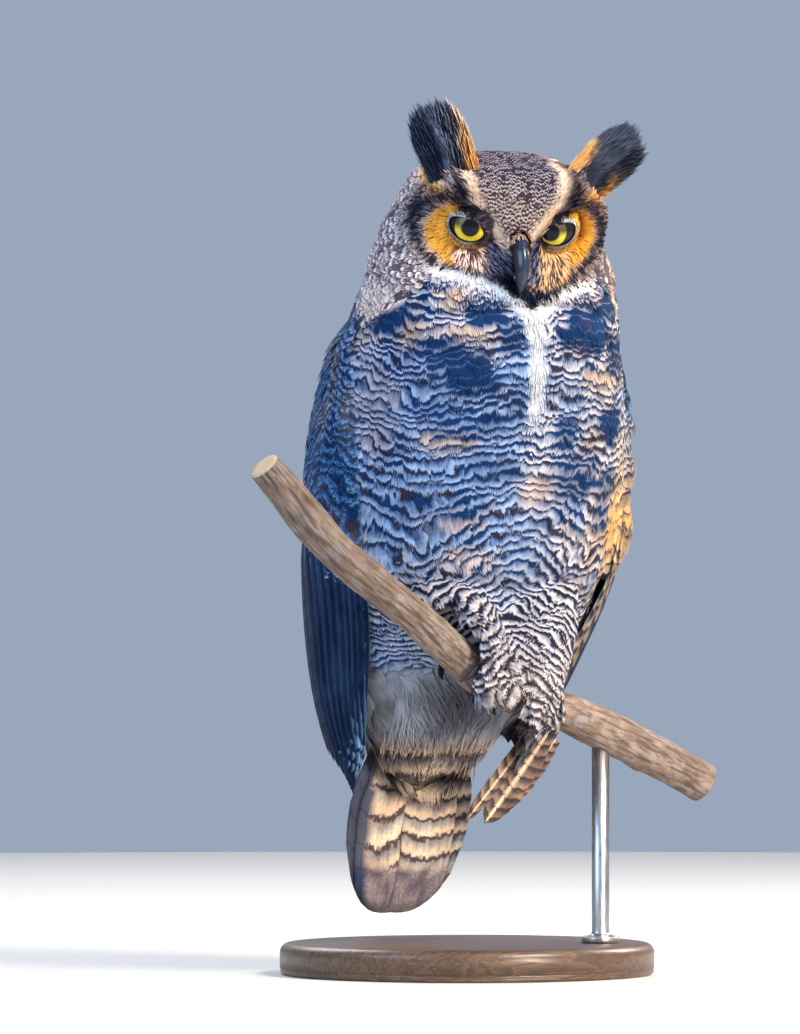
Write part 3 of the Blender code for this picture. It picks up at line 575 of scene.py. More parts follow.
def body_map(points):
    """Shares from 0 to 1 of the places on the body, at points in the model's frame."""
    x, y, z = points.T
    in_front = fade(0.01, -0.03, y)
    ragged = cloud(points, 0.008, 8)
    bib = fade(0.0012, -0.0012, np.abs(z - bib_height(x)) - bib_half_width(x) + 0.001 * ragged)
    bib = bib * fade(0.06, 0.05, np.abs(x + 0.006)) * in_front
    stripe_width = 0.0042 + 0.004 * bump_at(z, 0.405, 0.012) + 0.003 * bump_at(z, 0.376, 0.01)
    stripe = fade(stripe_width + 0.003, stripe_width - 0.003, np.abs(x - 0.001) + 0.0022 * ragged)
    stripe = stripe * fade(0.338, 0.356, z) * fade(0.412, 0.404, z) * in_front
    blotch = patches(points, BLOTCHES) * (1 - 0.9 * stripe) * (1 - bib)
    cream_line = bump_at(x - 0.006, 0, 0.013) * fade(0.25, 0.34, z)
    return {
        "bib": bib,
        "stripe": stripe,
        "blotch": blotch,
        "buff": patches(points, BUFF_PATCHES) * (1 - blotch),
        "cream_line": cream_line * fade(0.37, 0.34, z) * in_front,
        "low": fade(0.275, 0.235, z) * in_front,
        "high": fade(0.38, 0.394, z + 0.003 * ragged) * fade(0.006, 0.014, np.abs(x)) * in_front,
        # painted light: a warm lit strip along the edge of the left flank
        "sunlit_flank": fade(0.066, 0.074, x) * bump_at(z, 0.282, 0.042) * fade(0.02, -0.01, y),
    }


girth = np.degrees(np.arctan2(x, -y))  # 0 in the middle of the breast, 90 on the left side
grown.update(body_map(skin_points))
print("share of the front that is blotch:", round(float((grown["blotch"] > 0.5).sum() / (y < -0.02).sum()), 2))

# %% [markdown]
# ## The lie of the plumage
# Feathers all point away from the bill: over the crown, down the neck and body, in towards the feet on the
# belly. On the face they point away from the eye. The lie is a direction at each point of the skin, pressed
# flat onto it. On the body the bars are counted along it, so that they always cross the feathers.

# %% The lie at each point of the skin


def towards(*values):
    return unit(columns(*values))


def body_slant(z, y):
    return (0.1 + 0.66 * fade(0.33, 0.2, z)) * fade(0.03, -0.03, y)


centre_off = x - 0.004
flare = 0.45 * fade(38, 62, np.abs(girth)) * fade(0.02, -0.03, y) * fade(0.22, 0.28, z)
outward = (flare - body_slant(z, y)) * np.tanh(centre_off / 0.012)
body_lie = towards(outward, 0.1 * fade(0.2, 0.15, z), -1.0)

side_sign, across, back, up = (grown[key] for key in ("side", "across", "back", "up"))
eye_x, eye_up = across - EYE_PLACE[0], up - EYE_PLACE[1]
face_lie = towards(side_sign * eye_x, 0.1 * np.hypot(eye_x, eye_up), eye_up)
crown_rise = 0.85 * fade(0.01, -0.03, back) - 0.9 * fade(0.0, 0.04, back)
crown_lie = towards(grown["off"] * 5, 1.0, crown_rise)
brow_lie = towards(side_sign * 0.62, 0.3, 0.78)
cheek_lie = towards(side_sign * 0.3, 0.95, -0.75)
chin_lie = towards(side_sign * 0.35, 0.0, -1.0)


def from_head(vectors):
    return vectors @ HEAD_TURN.T


radial = np.clip(grown["disc"] + grown["rim"] + grown["lores"] + grown["moustache"], 0, 1)
brow = np.clip(grown["brow_line"] + grown["dark_brow"] + grown["orange_patch"], 0, 1)
lie = body_lie.copy()
for share, direction in (
    (on_head, from_head(cheek_lie)),
    (grown["crown"] * on_head, from_head(crown_lie)),
    (radial * on_head, from_head(face_lie)),
    (brow * on_head, from_head(brow_lie)),
    (np.clip(grown["chin"], 0, 1) * on_head, from_head(chin_lie)),
):
    lie = unit(lie * (1 - share)[:, None] + direction * share[:, None])
lie = spread(lie, 2)
lie = unit(lie - skin_normals * (lie * skin_normals).sum(axis=1)[:, None])

# %% [markdown]
# ## Sizes of the feathers
# They are small on the face and larger on the body, where only the tip of each shows. The sizes fade into
# each other over the skin, so that there is no border where one kind of feather stops.

# %% Length, width and lift of the feathers
dorsal = np.clip(fade(0.0, 0.03, y) * (1 - on_head) + on_wings, 0, 1)
dorsal = dorsal * (1 - fade(0.2, 0.16, z) * (1 - on_wings) * fade(0.09, 0.07, y))
leg_share = np.clip(on_legs + on_feet, 0, 1)
vent = fade(0.2, 0.184, z) * fade(-0.06, -0.04, y) * (1 - on_wings) * (1 - leg_share)
undertail = vent * fade(0.152, 0.142, z)
SIZES = (  # share of the skin, length, width and lift in degrees
    (np.ones(len(x)), 0.0215, 0.0125, 5.0),
    (dorsal * (1 - on_wings), 0.025, 0.014, 7.0),
    (on_wings * fade(0.24, 0.44, z), 0.0165, 0.0095, 6.5),
    (on_wings * fade(0.36, 0.28, z), 0.026, 0.0135, 4.0),
    (np.clip(grown["bib"] + 0.6 * grown["stripe"], 0, 1), 0.015, 0.0065, 12.0),
    (leg_share * (1 - on_feet), 0.014, 0.008, 5.0),
    (vent, 0.024, 0.01, 8.0),
    (undertail, 0.03, 0.017, 5.0),
    (on_head, 0.01, 0.0056, 9.0),
    (grown["crown"] * on_head, 0.006, 0.0039, 8.0),
    (grown["disc"] * on_head, 0.0066, 0.0014, 7.0),
    (grown["rim"] * on_head, 0.0066, 0.0022, 14.0),
    (grown["moustache"] * on_head, 0.0095, 0.0013, 10.0),
    (grown["lores"] * on_head, 0.008, 0.0011, 16.0),
    (np.clip(grown["brow_line"], 0, 1) * on_head, 0.0065, 0.0017, 16.0),
    (np.clip(grown["dark_brow"], 0, 1) * on_head, 0.01, 0.002, 26.0),
    (grown["chin"] * on_head, 0.007, 0.0024, 12.0),
    (np.clip(on_feet, 0, 1), 0.0048, 0.0028, 4.0),
)
reach, breadth, lift = np.zeros(len(x)), np.zeros(len(x)), np.zeros(len(x))
for share, long, wide, raised in SIZES:
    share = np.clip(share, 0, 1)
    reach, breadth = blend(reach, long, share), blend(breadth, wide, share)
    lift = blend(lift, radians(raised), share)
bent = 1 - np.linalg.norm(spread(skin_normals, 6), axis=1)
flatter = 1 - 0.55 * fade(0.02, 0.1, bent) * on_wings
reach, lift = reach * flatter, lift * flatter
print("bent skin:", np.round(np.percentile(bent, (50, 90, 97, 99.5)), 3))
print("feathers from", round(1000 * reach.min(), 1), "to", round(1000 * reach.max(), 1), "mm long")

# %% [markdown]
# ## Colours
# Every feather has a ground colour and a colour for its marks, mixed from a short palette by the map. The
# material then draws the marks: bars where their share of the spacing is set, fine mottling where that is.

# %% How the bars are counted
BAR_SPACING, LEG_SPACING = 0.0059, 0.006
UNDERTAIL_BARS = {  # their heights on the right and on the left half
    -1: (0.16, 0.148, 0.137, 0.126, 0.112, 0.091, 0.072),
    1: (0.15, 0.137, 0.125, 0.115, 0.103, 0.092, 0.08),
}


def tail_phase(height, sign):
    """The count of the thin bars under the tail, whose heights are not quite even."""
    bars_at = np.array(UNDERTAIL_BARS[sign])
    steps = np.arange(len(bars_at)) + 0.5
    phase = np.interp(-height, -bars_at, steps)
    phase = np.where(height > bars_at[0], 0.5 - (height - bars_at[0]) / 0.012, phase)
    return np.where(height < bars_at[-1], steps[-1] + (bars_at[-1] - height) / 0.014, phase)


def body_fall(points):
    """How far down the body a point lies, counted square to the bars."""
    x, y, z = points.T
    turn = np.abs(np.arctan2(x, -y))
    fall = -z - body_slant(z, y) * np.sqrt((x - 0.004) ** 2 + 0.006**2)
    fall = fall + 0.045 * np.maximum(turn - 0.75, 0) * fade(0.02, -0.02, y)
    return fall + 0.0036 * cloud(points, (0.024, 0.024, 0.014), 2) + 0.0019 * cloud(points, 0.0085, 3)


spacing = np.full(len(x), BAR_SPACING)
bar_phase = body_fall(skin_points) / BAR_SPACING
legs_here = leg_share > 0.5
bar_phase = np.where(legs_here, body_fall(skin_points) / LEG_SPACING, bar_phase)
spacing = np.where(legs_here, LEG_SPACING, spacing)
spacing = np.where(undertail > 0.5, 0.0115, spacing)
bar_phase = np.where(undertail > 0.5, np.where(x < -0.004, tail_phase(z, -1), tail_phase(z, 1)), bar_phase)
OWN_BARS = {"crown": (2.0, -1.7), "cheeks": (1.7, -0.88)}  # bars on one feather, and the count at its root
for here, key in ((on_head > 0.5, "cheeks"), (grown["crown"] * on_head > 0.5, "crown")):
    spacing = np.where(here, reach / OWN_BARS[key][0], spacing)
    bar_phase = np.where(here, OWN_BARS[key][1], bar_phase)
print("bars from throat to tail:", round(float(np.ptp(body_fall(skin_points)) / BAR_SPACING)))

# %% The palette, mixed over the skin
SNOW, CREAM, BUFF = (0.6, 0.62, 0.68), (0.68, 0.6, 0.58), (0.68, 0.47, 0.34)
ORANGE, RUST, SUNLIT_GOLD = (0.86, 0.42, 0.055), (0.36, 0.12, 0.03), (0.76, 0.41, 0.11)
SHADE_BLUE, DEEP_BLUE = (0.32, 0.45, 0.69), (0.034, 0.085, 0.21)
NAVY, UMBER, DUSK = (0.006, 0.032, 0.112), (0.034, 0.026, 0.046), (0.003, 0.018, 0.066)

looks = {}


def lay(share, **values):
    """Blends the named looks of the skin towards new values, by a share at each point."""
    for key, value in values.items():
        looks[key] = (mix if key in ("ground", "mark") else blend)(looks[key], value, share)


streaks = cloud(skin_points, (0.014, 0.014, 0.045), 4)
wash = cloud(skin_points, (0.022, 0.022, 0.03), 5)
fine = cloud(skin_points, 0.005, 6)
# painted light: the owl's left side is painted paler and warmer as lit, its right side bluer as shaded
lit_side = fade(-0.03, 0.06, x)
white_share = np.clip(grown["bib"] + grown["stripe"], 0, 1)
blue_share = fade(-0.6, 0.5, 0.55 * streaks + 0.1 * fine - 1.1 * lit_side + 0.7)
looks["ground"] = mix(CREAM, SHADE_BLUE, blue_share)
for share, colour in (
    ((0.15 + 0.35 * lit_side) * fade(0.25, 0.9, wash), BUFF),
    (np.clip(0.85 * grown["cream_line"] + 0.55 * grown["low"], 0, 1), (0.76, 0.71, 0.72)),
    (0.65 * grown["high"], (0.8, 0.7, 0.72)),
    (grown["buff"], BUFF),
    (0.92 * grown["blotch"], DEEP_BLUE),
    (white_share, SNOW),
):
    lay(share, ground=colour)
tint = cloud(skin_points, 0.011, 15)
looks["mark"] = mix(UMBER, NAVY, fade(-0.8, 0.3, 0.6 * wash + tint - 0.4 * lit_side + grown["blotch"]))
duty = 0.34 + 0.28 * fade(0.0, 0.8, cloud(skin_points, (0.03, 0.03, 0.018), 7))
duty = duty + 0.06 * grown["low"] + 0.06 * grown["high"] - 0.08 * grown["cream_line"]
looks["duty"] = np.maximum(duty, 0.92 * grown["blotch"]) * (1 - white_share) * (1 - 0.55 * grown["buff"])
looks["arc"] = 0.42 - 0.2 * grown["low"]

# the back, the nape and the wings are dusky, finely vermiculated, with some buff between
right_flank = fade(0.07, 0.02, y) * fade(-0.06, -0.085, x)
flank_side = np.where(x < 0, right_flank, fade(0.0, -0.03, y))[:, None]
pale_back = mix((0.34, 0.28, 0.25), (0.6, 0.46, 0.35), fade(0.1, 0.9, streaks))
pale_side = mix((0.1, 0.27, 0.52), (0.34, 0.37, 0.48), fade(0.2, 1.0, streaks))
dark_back = mix((0.026, 0.023, 0.03), (0.07, 0.05, 0.045), fade(-0.3, 0.7, wash))
dark_side = mix(DUSK, (0.06, 0.046, 0.05), fade(-0.3, 0.7, wash))
pale, dark = blend(pale_back, pale_side, flank_side), blend(dark_back, dark_side, flank_side)
lay(dorsal, ground=pale, mark=dark, duty=0.46)
looks["mottle"] = 0.95 * dorsal
shoulder = bump_at(z, 0.408, 0.016) * fade(-0.02, -0.045, y) * fade(0.3, 0.7, on_wings)
# the shoulder is pale; the strip on the left flank's edge is painted light, a warm sunlit rim, with fewer bars
for share, colour in ((shoulder, (0.8, 0.7, 0.7)), (grown["sunlit_flank"], SUNLIT_GOLD)):
    lay(0.9 * share, ground=colour)
    lay(0.6 * share, duty=0)
    lay(0.8 * share, mottle=0)

# the head: cheeks and nape first, then the crown, then the face
lower_cheek = 0.7 * fade(0.44, 0.425, z) * fade(0.0, -0.03, y)
to_left = grown["off"] + 2.0 * np.maximum(back - 0.004, 0)  # the nape is as brown as the left cheek
right_cheek = fade(0.01, -0.02, to_left)
warmer = fade(0.0, 0.6, cloud(skin_points, 0.01, 14) + lower_cheek)
cheek_ground = mix((0.98, 0.76, 0.7), (0.62, 0.41, 0.29), fade(-0.02, 0.03, to_left))
cheek_ground = mix(cheek_ground, (0.98, 0.76, 0.64), 0.9 * warmer)
lay(on_head, ground=cheek_ground, mark=(0.09, 0.076, 0.1), duty=0.3 - 0.18 * lower_cheek, arc=0.5)
looks["streaky"] = on_head * (0.12 - 0.1 * lower_cheek + 0.3 * fade(-0.01, 0.02, to_left))
crown_share = grown["crown"] * on_head
high = fade(0.012, 0.045, grown["up"])
crown_ground = mix((0.78, 0.58, 0.47), (0.52, 0.45, 0.51), high)
crown_mark = mix((0.052, 0.036, 0.05), (0.018, 0.018, 0.04), high)
lay(crown_share, ground=crown_ground, mark=crown_mark, duty=0.56 + 0.12 * high, streaky=0.06 + 0.3 * high)
cheek_mottle = (0.26 - 0.12 * lower_cheek - 0.08 * right_cheek) * on_head * (1 - crown_share)
looks["mottle"] = looks["mottle"] * (1 - on_head) + cheek_mottle
moustache_colour = mix((0.86, 0.64, 0.57), (0.86, 0.53, 0.28), fade(-0.004, 0.004, grown["off"]))
for key, colour, marks, streak_share in (
    ("disc", ORANGE, RUST, 0.08),
    ("orange_patch", (0.95, 0.5, 0.15), RUST, 0.12),
    ("rim", (0.024, 0.022, 0.042), (0.008, 0.009, 0.02), 0.55),
    ("moustache", moustache_colour, (0.1, 0.062, 0.056), 0.34),
    ("lores", (0.18, 0.17, 0.26), (0.014, 0.024, 0.062), 0.58),
    ("dark_brow", (0.03, 0.028, 0.048), (0.008, 0.01, 0.022), 0.55),
    ("brow_line", (0.92, 0.68, 0.5), BUFF, 0.15),
    ("chin", (0.012, 0.016, 0.036), (0.005, 0.007, 0.018), 0.5),
):
    share = np.clip(grown[key] * on_head, 0, 1)
    lay(share, ground=colour, mark=marks, duty=0, streaky=streak_share)
    lay(0.8 * share, mottle=0)
# painted shade: the white bib is painted bluer and darker a little to the owl's right of its middle
bib_with_shade = mix((0.68, 0.69, 0.74), (0.3, 0.44, 0.6), 0.8 * bump_at(x, -0.019, 0.011))
lay(np.clip(grown["bib"], 0, 1), ground=bib_with_shade, duty=0, mottle=0, streaky=0)

# the feathered legs and toes are cream with dark bars, the vent is grey buff down
lay(leg_share * 0.95, ground=mix((0.52, 0.46, 0.45), (0.7, 0.63, 0.6), fade(-0.4, 0.4, fine)))
leg_mark = mix((0.046, 0.032, 0.036), (0.01, 0.013, 0.034), fade(0.18, 0.215, z))
lay(leg_share, mark=leg_mark, duty=0.46, arc=0.1)
# painted shade: the down is painted darker and browner in the middle of the vent, under the belly and the branch
vent_shade = bump_at(x, -0.004, 0.02) * fade(0.145, 0.175, z)
down_colour = mix((0.27, 0.29, 0.35), (0.085, 0.065, 0.075), vent_shade)
lay(vent * 0.9, ground=down_colour)
lay(vent, mark=down_colour * 0.55, duty=0)
looks["streaky"] = looks["streaky"] + 0.18 * vent
lay(undertail, ground=(0.6, 0.46, 0.34), mark=(0.075, 0.05, 0.05), duty=0.3, arc=0.1, mottle=0.14)
print("mean ground colour:", np.round(looks["ground"].mean(axis=0), 2))
print("mean share of bars:", round(float(looks["duty"].mean()), 2))

# %% [markdown]
# ## The plumage's material
# One node tree paints skin and feathers. `bars` holds three numbers: how many bars lie before a feather's
# root, how many fit on its length, and the share of the spacing that is dark. Counting on along the feather
# tells where a point lies between two bars. Adding a little at the edges bends each bar to the feather's
# rounded tip, and noise makes it waver from barb to barb.

# %% Node helpers


def in_use(sockets, name=None):
    """The first socket that is in use: some nodes hold one of each type under the same name."""
    return next(socket for socket in sockets if socket.enabled and name in (None, socket.name))


class Nodes:
    """Adds nodes to one tree. Every input takes a value or a socket, and every call returns a socket."""

    def __init__(self, tree):
        self.tree = tree

    def add(self, kind, inputs=(), output=None, **settings):
        made = self.tree.nodes.new(kind)
        for name, value in settings.items():
            setattr(made, name, value)
        for key, value in dict(inputs).items():
            socket = made.inputs[key] if isinstance(key, int) else in_use(made.inputs, key)
            if isinstance(value, bpy.types.NodeSocket):
                self.tree.links.new(value, socket)
            else:
                socket.default_value = value
        return made.outputs[output] if output else in_use(made.outputs)

    def math(self, operation, *values, clamp=False):
        return self.add("ShaderNodeMath", enumerate(values), operation=operation, use_clamp=clamp)

    def times(self, first, second):
        return self.math("MULTIPLY", first, second)

    def vector(self, operation, *values):
        return self.add("ShaderNodeVectorMath", enumerate(values), operation=operation)

    def join(self, *values):
        return self.add("ShaderNodeCombineXYZ", enumerate(values))

    def split(self, vector):
        return self.add("ShaderNodeSeparateXYZ", {0: vector}).node.outputs


class Painter(Nodes):
    """The nodes of a new material, whose shader has the given inputs."""

    def __init__(self, name, **values):
        self.material = material_with(name, **values)
        super().__init__(self.material.node_tree)

    def place(self):
        return self.add("ShaderNodeTexCoord", output="Object")

    def attribute(self, name):
        return self.add("ShaderNodeAttribute", output="Vector", attribute_name=name)

    def fade(self, value, low, high, start=0.0, end=1.0):
        """A smooth fade from start to end as value goes from low to high."""
        inputs = {"Value": value, "From Min": low, "From Max": high, "To Min": start, "To Max": end}
        return self.add("ShaderNodeMapRange", inputs, interpolation_type="SMOOTHSTEP")

    def mix(self, share, first, second, blend_type="MIX"):
        """A colour between two others, each of which is a socket or three numbers."""
        inputs = {"Factor": share}
        for name, value in (("A", first), ("B", second)):
            inputs[name] = value if isinstance(value, bpy.types.NodeSocket) else (*value, 1)
        return self.add("ShaderNodeMix", inputs, data_type="RGBA", blend_type=blend_type)

    def speckle(self, place, scale, detail=2.0):
        """Noise from about 0 to 1."""
        return self.add("ShaderNodeTexNoise", {"Vector": place, "Scale": scale, "Detail": detail})

    def bump(self, height, strength, distance):
        return self.add("ShaderNodeBump", {"Strength": strength, "Distance": distance, "Height": height})

    def finish(self, **sockets):
        """Links sockets to the shader's inputs and hands over the material."""
        shader = self.tree.nodes["Principled BSDF"]
        for name, socket in sockets.items():
            self.tree.links.new(socket, shader.inputs[name.replace("_", " ")])
        return self.material


# %% The plumage
BAR_EDGE = 0.17  # how softly a bar ends, as a share of half the spacing


def plumage_material():
    paint = Painter("plumage", Roughness=0.75, Sheen_Weight=0.01, Sheen_Roughness=0.5, Specular_IOR_Level=0.04)
    place = paint.place()
    vane = paint.split(paint.add("ShaderNodeUVMap", uv_map="vane"))
    side, along = paint.math("MULTIPLY_ADD", vane[0], 2.0, -1.0), vane[1]
    bars, finish, chance = (paint.split(paint.attribute(name)) for name in ("bars", "finish", "chance"))
    barb = paint.vector("MULTIPLY", paint.join(side, chance[0], chance[1]), (7.0, 40.0, 40.0))
    barb = paint.speckle(barb, 1.0, 3.0)

    waver = paint.math("MULTIPLY_ADD", paint.speckle(place, 230.0), 0.55, -0.275)
    waver = paint.math("MULTIPLY_ADD", barb, 0.42, waver)
    curve = paint.times(paint.times(side, side), finish[1])
    count = paint.math("MULTIPLY_ADD", along, bars[1], bars[0])
    count = paint.math("ADD", paint.math("ADD", count, curve), waver)
    off_bar = paint.math("ABSOLUTE", paint.math("MULTIPLY_ADD", paint.math("FRACT", count), 2.0, -1.0))
    low, high = (paint.math(operation, bars[2], BAR_EDGE) for operation in ("SUBTRACT", "ADD"))
    bar = paint.fade(off_bar, low, high, 1.0, 0.0)

    grain = paint.fade(paint.speckle(place, 620.0, 3.0), 0.44, 0.56)
    speckled = paint.times(grain, finish[0])
    whole = paint.math("LESS_THAN", chance[0], finish[2])
    dark_share = paint.math("MAXIMUM", paint.math("MAXIMUM", bar, whole), speckled)
    dark_share = paint.math("SUBTRACT", dark_share, paint.times(speckled, 0.12), clamp=True)
    past_bar = paint.math("FRACT", paint.math("ADD", count, 0.5))
    shadow = paint.times(paint.fade(past_bar, 0.15, 0.75, 1.0, 0.0), paint.fade(bars[2], 0.05, 0.3))
    pale = paint.mix(shadow, paint.attribute("ground"), (0.22, 0.32, 0.52), "MULTIPLY")
    colour = paint.mix(dark_share, pale, paint.attribute("mark"))

    tone = paint.math("MULTIPLY_ADD", barb, 0.55, 0.62)
    tone = paint.times(tone, paint.math("MULTIPLY_ADD", chance[2], 0.26, 0.92))
    return paint.finish(Base_Color=paint.mix(1.0, colour, paint.join(tone, tone, tone), "MULTIPLY"))


plumage = plumage_material()
print("nodes in the plumage:", len(plumage.node_tree.nodes))

# %% [markdown]
# The map, the sizes and the colours are written onto the skin as named attributes, which Geometry Nodes hand
# to each feather. The skin is also laid flat by Smart UV Project: each feather is given a small patch of that
# map where its root lies, for its colour to be baked on.

# %% The skin as an object


def base_object(name, points, faces, fields, margin=0.01, by_place=False):
    """An object to plant feathers on, with its fields and its own unwrap. Where by_place is true, the bars
    of a feather are counted by its place on the body."""
    mesh = mesh_from(name, points, faces)
    mesh.shade_smooth()
    thing = new_object(name, mesh)
    for field, values in fields.items():
        write_attribute(mesh, field, np.broadcast_to(values, (len(points), 3)))
    bpy.ops.object.select_all(action="DESELECT")
    bpy.context.view_layer.objects.active = thing
    thing.select_set(True)
    bpy.ops.object.mode_set(mode="EDIT")
    bpy.ops.mesh.select_all(action="SELECT")
    bpy.ops.uv.smart_project(angle_limit=radians(66), island_margin=margin)
    bpy.ops.object.mode_set(mode="OBJECT")
    mesh = thing.data
    mesh.uv_layers.active.name = "OFBake"
    counted = at_corners(mesh, np.broadcast_to(by_place, len(points)))
    write_attribute(mesh, "root", np.column_stack([read_uv(mesh, "OFBake"), counted]), domain="CORNER")
    write_uv(mesh, "vane", np.tile((0.5, 0.0), len(mesh.loops)))
    mesh.materials.append(plumage)
    return thing


skin_fields = {
    "lie": lie,
    "out": skin_normals,
    "ground": looks["ground"],
    "mark": looks["mark"],
    "bars": columns(bar_phase, reach / spacing, looks["duty"]),
    "finish": columns(looks["mottle"], looks["arc"], looks["streaky"]),
    "size": columns(breadth, reach, lift),
}
skin = finished(base_object("skin", skin_points, skin_faces, skin_fields, 0.002, on_head < 0.5), *FLESH)
print("the skin's map has", len(skin.data.loops), "corners")

# %% [markdown]
# ## Feathers to plant
# A contour feather is a shallow scoop with firm barbs and a loose soft tip. Each template is one scoop of
# unit length along Y, whose outer half is split into tapering fingers for the frayed edge. A few templates
# are enough, because each planted feather is also turned and scaled a little.

# %% Feather templates


def template(name, points, faces, vane):
    mesh = mesh_from(name, np.array(points), faces)
    write_uv(mesh, "vane", at_corners(mesh, vane))
    mesh.shade_smooth()
    return mesh


def feather_mesh(name, fingers, rows, split, camber, curl, fray, seed, taper=0.45, pointed=0.25):
    """A feather of length 1 and width 1. Its outer part, from split on, is cut into fingers."""
    random = np.random.default_rng(seed)
    points, faces, vane = [], [], []

    def add(side, along, half):
        points.append((side * half, along, -camber * side * side - curl * along * along))
        vane.append((0.5 + 0.5 * side, along))
        return len(points) - 1

    def half_width(along):
        return 0.5 * (taper + (1 - taper) * sin(min(along / 0.55, 1.0) * pi / 2))

    sides = np.linspace(-1, 1, fingers + 1)
    grid = [[add(side, along, half_width(along)) for side in sides] for along in np.linspace(0, split, rows + 1)]
    for low, high in zip(grid, grid[1:]):
        faces += [(low[k], low[k + 1], high[k + 1], high[k]) for k in range(fingers)]
    for k in range(fingers):
        middle = (sides[k] + sides[k + 1]) / 2
        tip = 1 - pointed * middle**2 + fray * random.uniform(-1, 0.6)
        bend = middle * (1 - 0.12 * abs(middle)) + fray * random.uniform(-0.5, 0.5)
        half, thin = half_width(1.0), 0.62 / fingers
        waist = split + (tip - split) * 0.55
        left, right = add(bend - thin, waist, half), add(bend + thin, waist, half)
        end = add(bend * 0.94 + fray * random.uniform(-0.4, 0.4), tip, half)
        faces += [(grid[-1][k], grid[-1][k + 1], right, left), (left, right, end)]
    return template(name, points, faces, vane)


def strand_mesh(name, segments, curl, seed):
    """A single loose barb: a strip that narrows to a point and waves a little."""
    wave = 1.5 * np.random.default_rng(seed).uniform(-0.6, 0.6)
    points, vane = [], []
    for k in range(segments):
        along = k / segments
        for side in (-1, 1):
            off = side * 0.5 * (1 - 0.6 * along) + wave * sin(2.6 * along)
            points.append((off, along, -curl * along**2))
            vane.append((0.5 + 0.5 * side, along))
    points.append((wave * sin(2.6), 1.0, -curl))
    vane.append((0.5, 1.0))
    faces = [(2 * k, 2 * k + 1, 2 * k + 3, 2 * k + 2) for k in range(segments - 1)]
    return template(name, points, [*faces, (2 * segments - 2, 2 * segments - 1, 2 * segments)], vane)


TEMPLATES = {
    "contour": [feather_mesh(f"contour_{k}", 12, 3, 0.52, 0.045, 0.1, 0.12, 10 + k) for k in range(6)],
    "covert": [feather_mesh(f"covert_{k}", 9, 3, 0.66, 0.05, 0.07, 0.05, 30 + k, 0.55, 0.34) for k in range(5)],
    "small": [feather_mesh(f"small_{k}", 5, 1, 0.45, 0.05, 0.12, 0.14, 50 + k) for k in range(6)],
    "hair": [strand_mesh(f"hair_{k}", 3, 0.1, 70 + k) for k in range(6)],
}
collections = {}
for kind, meshes in TEMPLATES.items():
    collections[kind] = bpy.data.collections.new(f"templates_{kind}")
    for mesh in meshes:
        collections[kind].objects.link(bpy.data.objects.new(mesh.name, mesh))
    print(kind, "feather:", triangles(meshes[0]), "triangles")

# %% [markdown]
# ## The planting tree
# One Geometry Nodes tree plants every kind of feather. It scatters points that keep their distance, as
# feathers do, stands each feather on the skin along the lie, lifts it a little, and gives it its size and
# three chance numbers for the material. Each corner then reads its colours from the skin below it.

# %% The planting tree


class Planter(Nodes):
    """The nodes of the planting tree."""

    def named(self, name, kind="FLOAT_VECTOR"):
        return self.add("GeometryNodeInputNamedAttribute", {"Name": name}, data_type=kind)

    def chance(self, low, high, seed):
        return self.add("FunctionNodeRandomValue", {"Min": low, "Max": high, "Seed": seed}, data_type="FLOAT")

    def store(self, geometry, name, value, domain):
        inputs = {"Geometry": geometry, "Name": name, "Value": value}
        return self.add("GeometryNodeStoreNamedAttribute", inputs, data_type="FLOAT_VECTOR", domain=domain)


INPUTS = dict(Geometry="Geometry", Cover="String", Spacing="Float", Seed="Int", Feathers="Collection")
INPUTS.update(Kinds="Int", Longer="Float", Wider="Float", Turn="Float", Raise="Float", Material="Material")
CROWD = 2.6  # points tried on each square of the spacing
planting = bpy.data.node_groups.new("plant_feathers", "GeometryNodeTree")
planting.interface.new_socket("Geometry", in_out="OUTPUT", socket_type="NodeSocketGeometry")
for name, kind in INPUTS.items():
    planting.interface.new_socket(name, in_out="INPUT", socket_type=f"NodeSocket{kind}")
given = planting.nodes.new("NodeGroupInput").outputs
grow = Planter(planting)
scattered = grow.add(
    "GeometryNodeDistributePointsOnFaces",
    {
        "Mesh": given["Geometry"],
        "Distance Min": given["Spacing"],
        "Density Max": grow.math("DIVIDE", CROWD, grow.times(given["Spacing"], given["Spacing"])),
        "Density Factor": grow.named(given["Cover"], "FLOAT"),
        "Seed": given["Seed"],
    },
    distribute_method="POISSON",
)
axes = {"Primary Axis": grow.named("out"), "Secondary Axis": grow.named("lie")}
stand_up = grow.add("FunctionNodeAxesToRotation", axes, primary_axis="Z", secondary_axis="Y")
size = grow.split(grow.named("size"))
turn = grow.chance(grow.times(given["Turn"], -1.0), given["Turn"], 1)
raised = grow.math("ADD", grow.times(size[2], grow.chance(0.6, 1.4, 2)), given["Raise"])
own_turn = grow.add("FunctionNodeEulerToRotation", {0: grow.join(raised, 0.0, turn)})
turned = {"Rotation": stand_up, "Rotate By": own_turn}
longer = grow.times(given["Longer"], grow.chance(0.84, 1.16, 3))
wider = grow.times(given["Wider"], grow.chance(0.85, 1.15, 4))
length, width = grow.times(size[1], longer), grow.times(size[0], wider)
kinds = {"Collection": given["Feathers"], "Separate Children": True, "Reset Children": True}
geometry = grow.add(
    "GeometryNodeInstanceOnPoints",
    {
        "Points": scattered,
        "Instance": grow.add("GeometryNodeCollectionInfo", kinds),
        "Pick Instance": True,
        "Instance Index": grow.math("FLOOR", grow.chance(0.0, given["Kinds"], 5)),
        "Rotation": grow.add("FunctionNodeRotateRotation", turned, rotation_space="LOCAL"),
        "Scale": grow.join(width, length, length),
    },
)
counted = grow.vector("MULTIPLY", grow.named("bars"), grow.join(1.0, longer, 1.0))
geometry = grow.store(geometry, "bars", counted, "INSTANCE")
chances = grow.join(*(grow.chance(0.0, 1.0, 6 + k) for k in range(3)))
geometry = grow.store(geometry, "chance", chances, "INSTANCE")
geometry = grow.add("GeometryNodeRealizeInstances", {"Geometry": geometry})

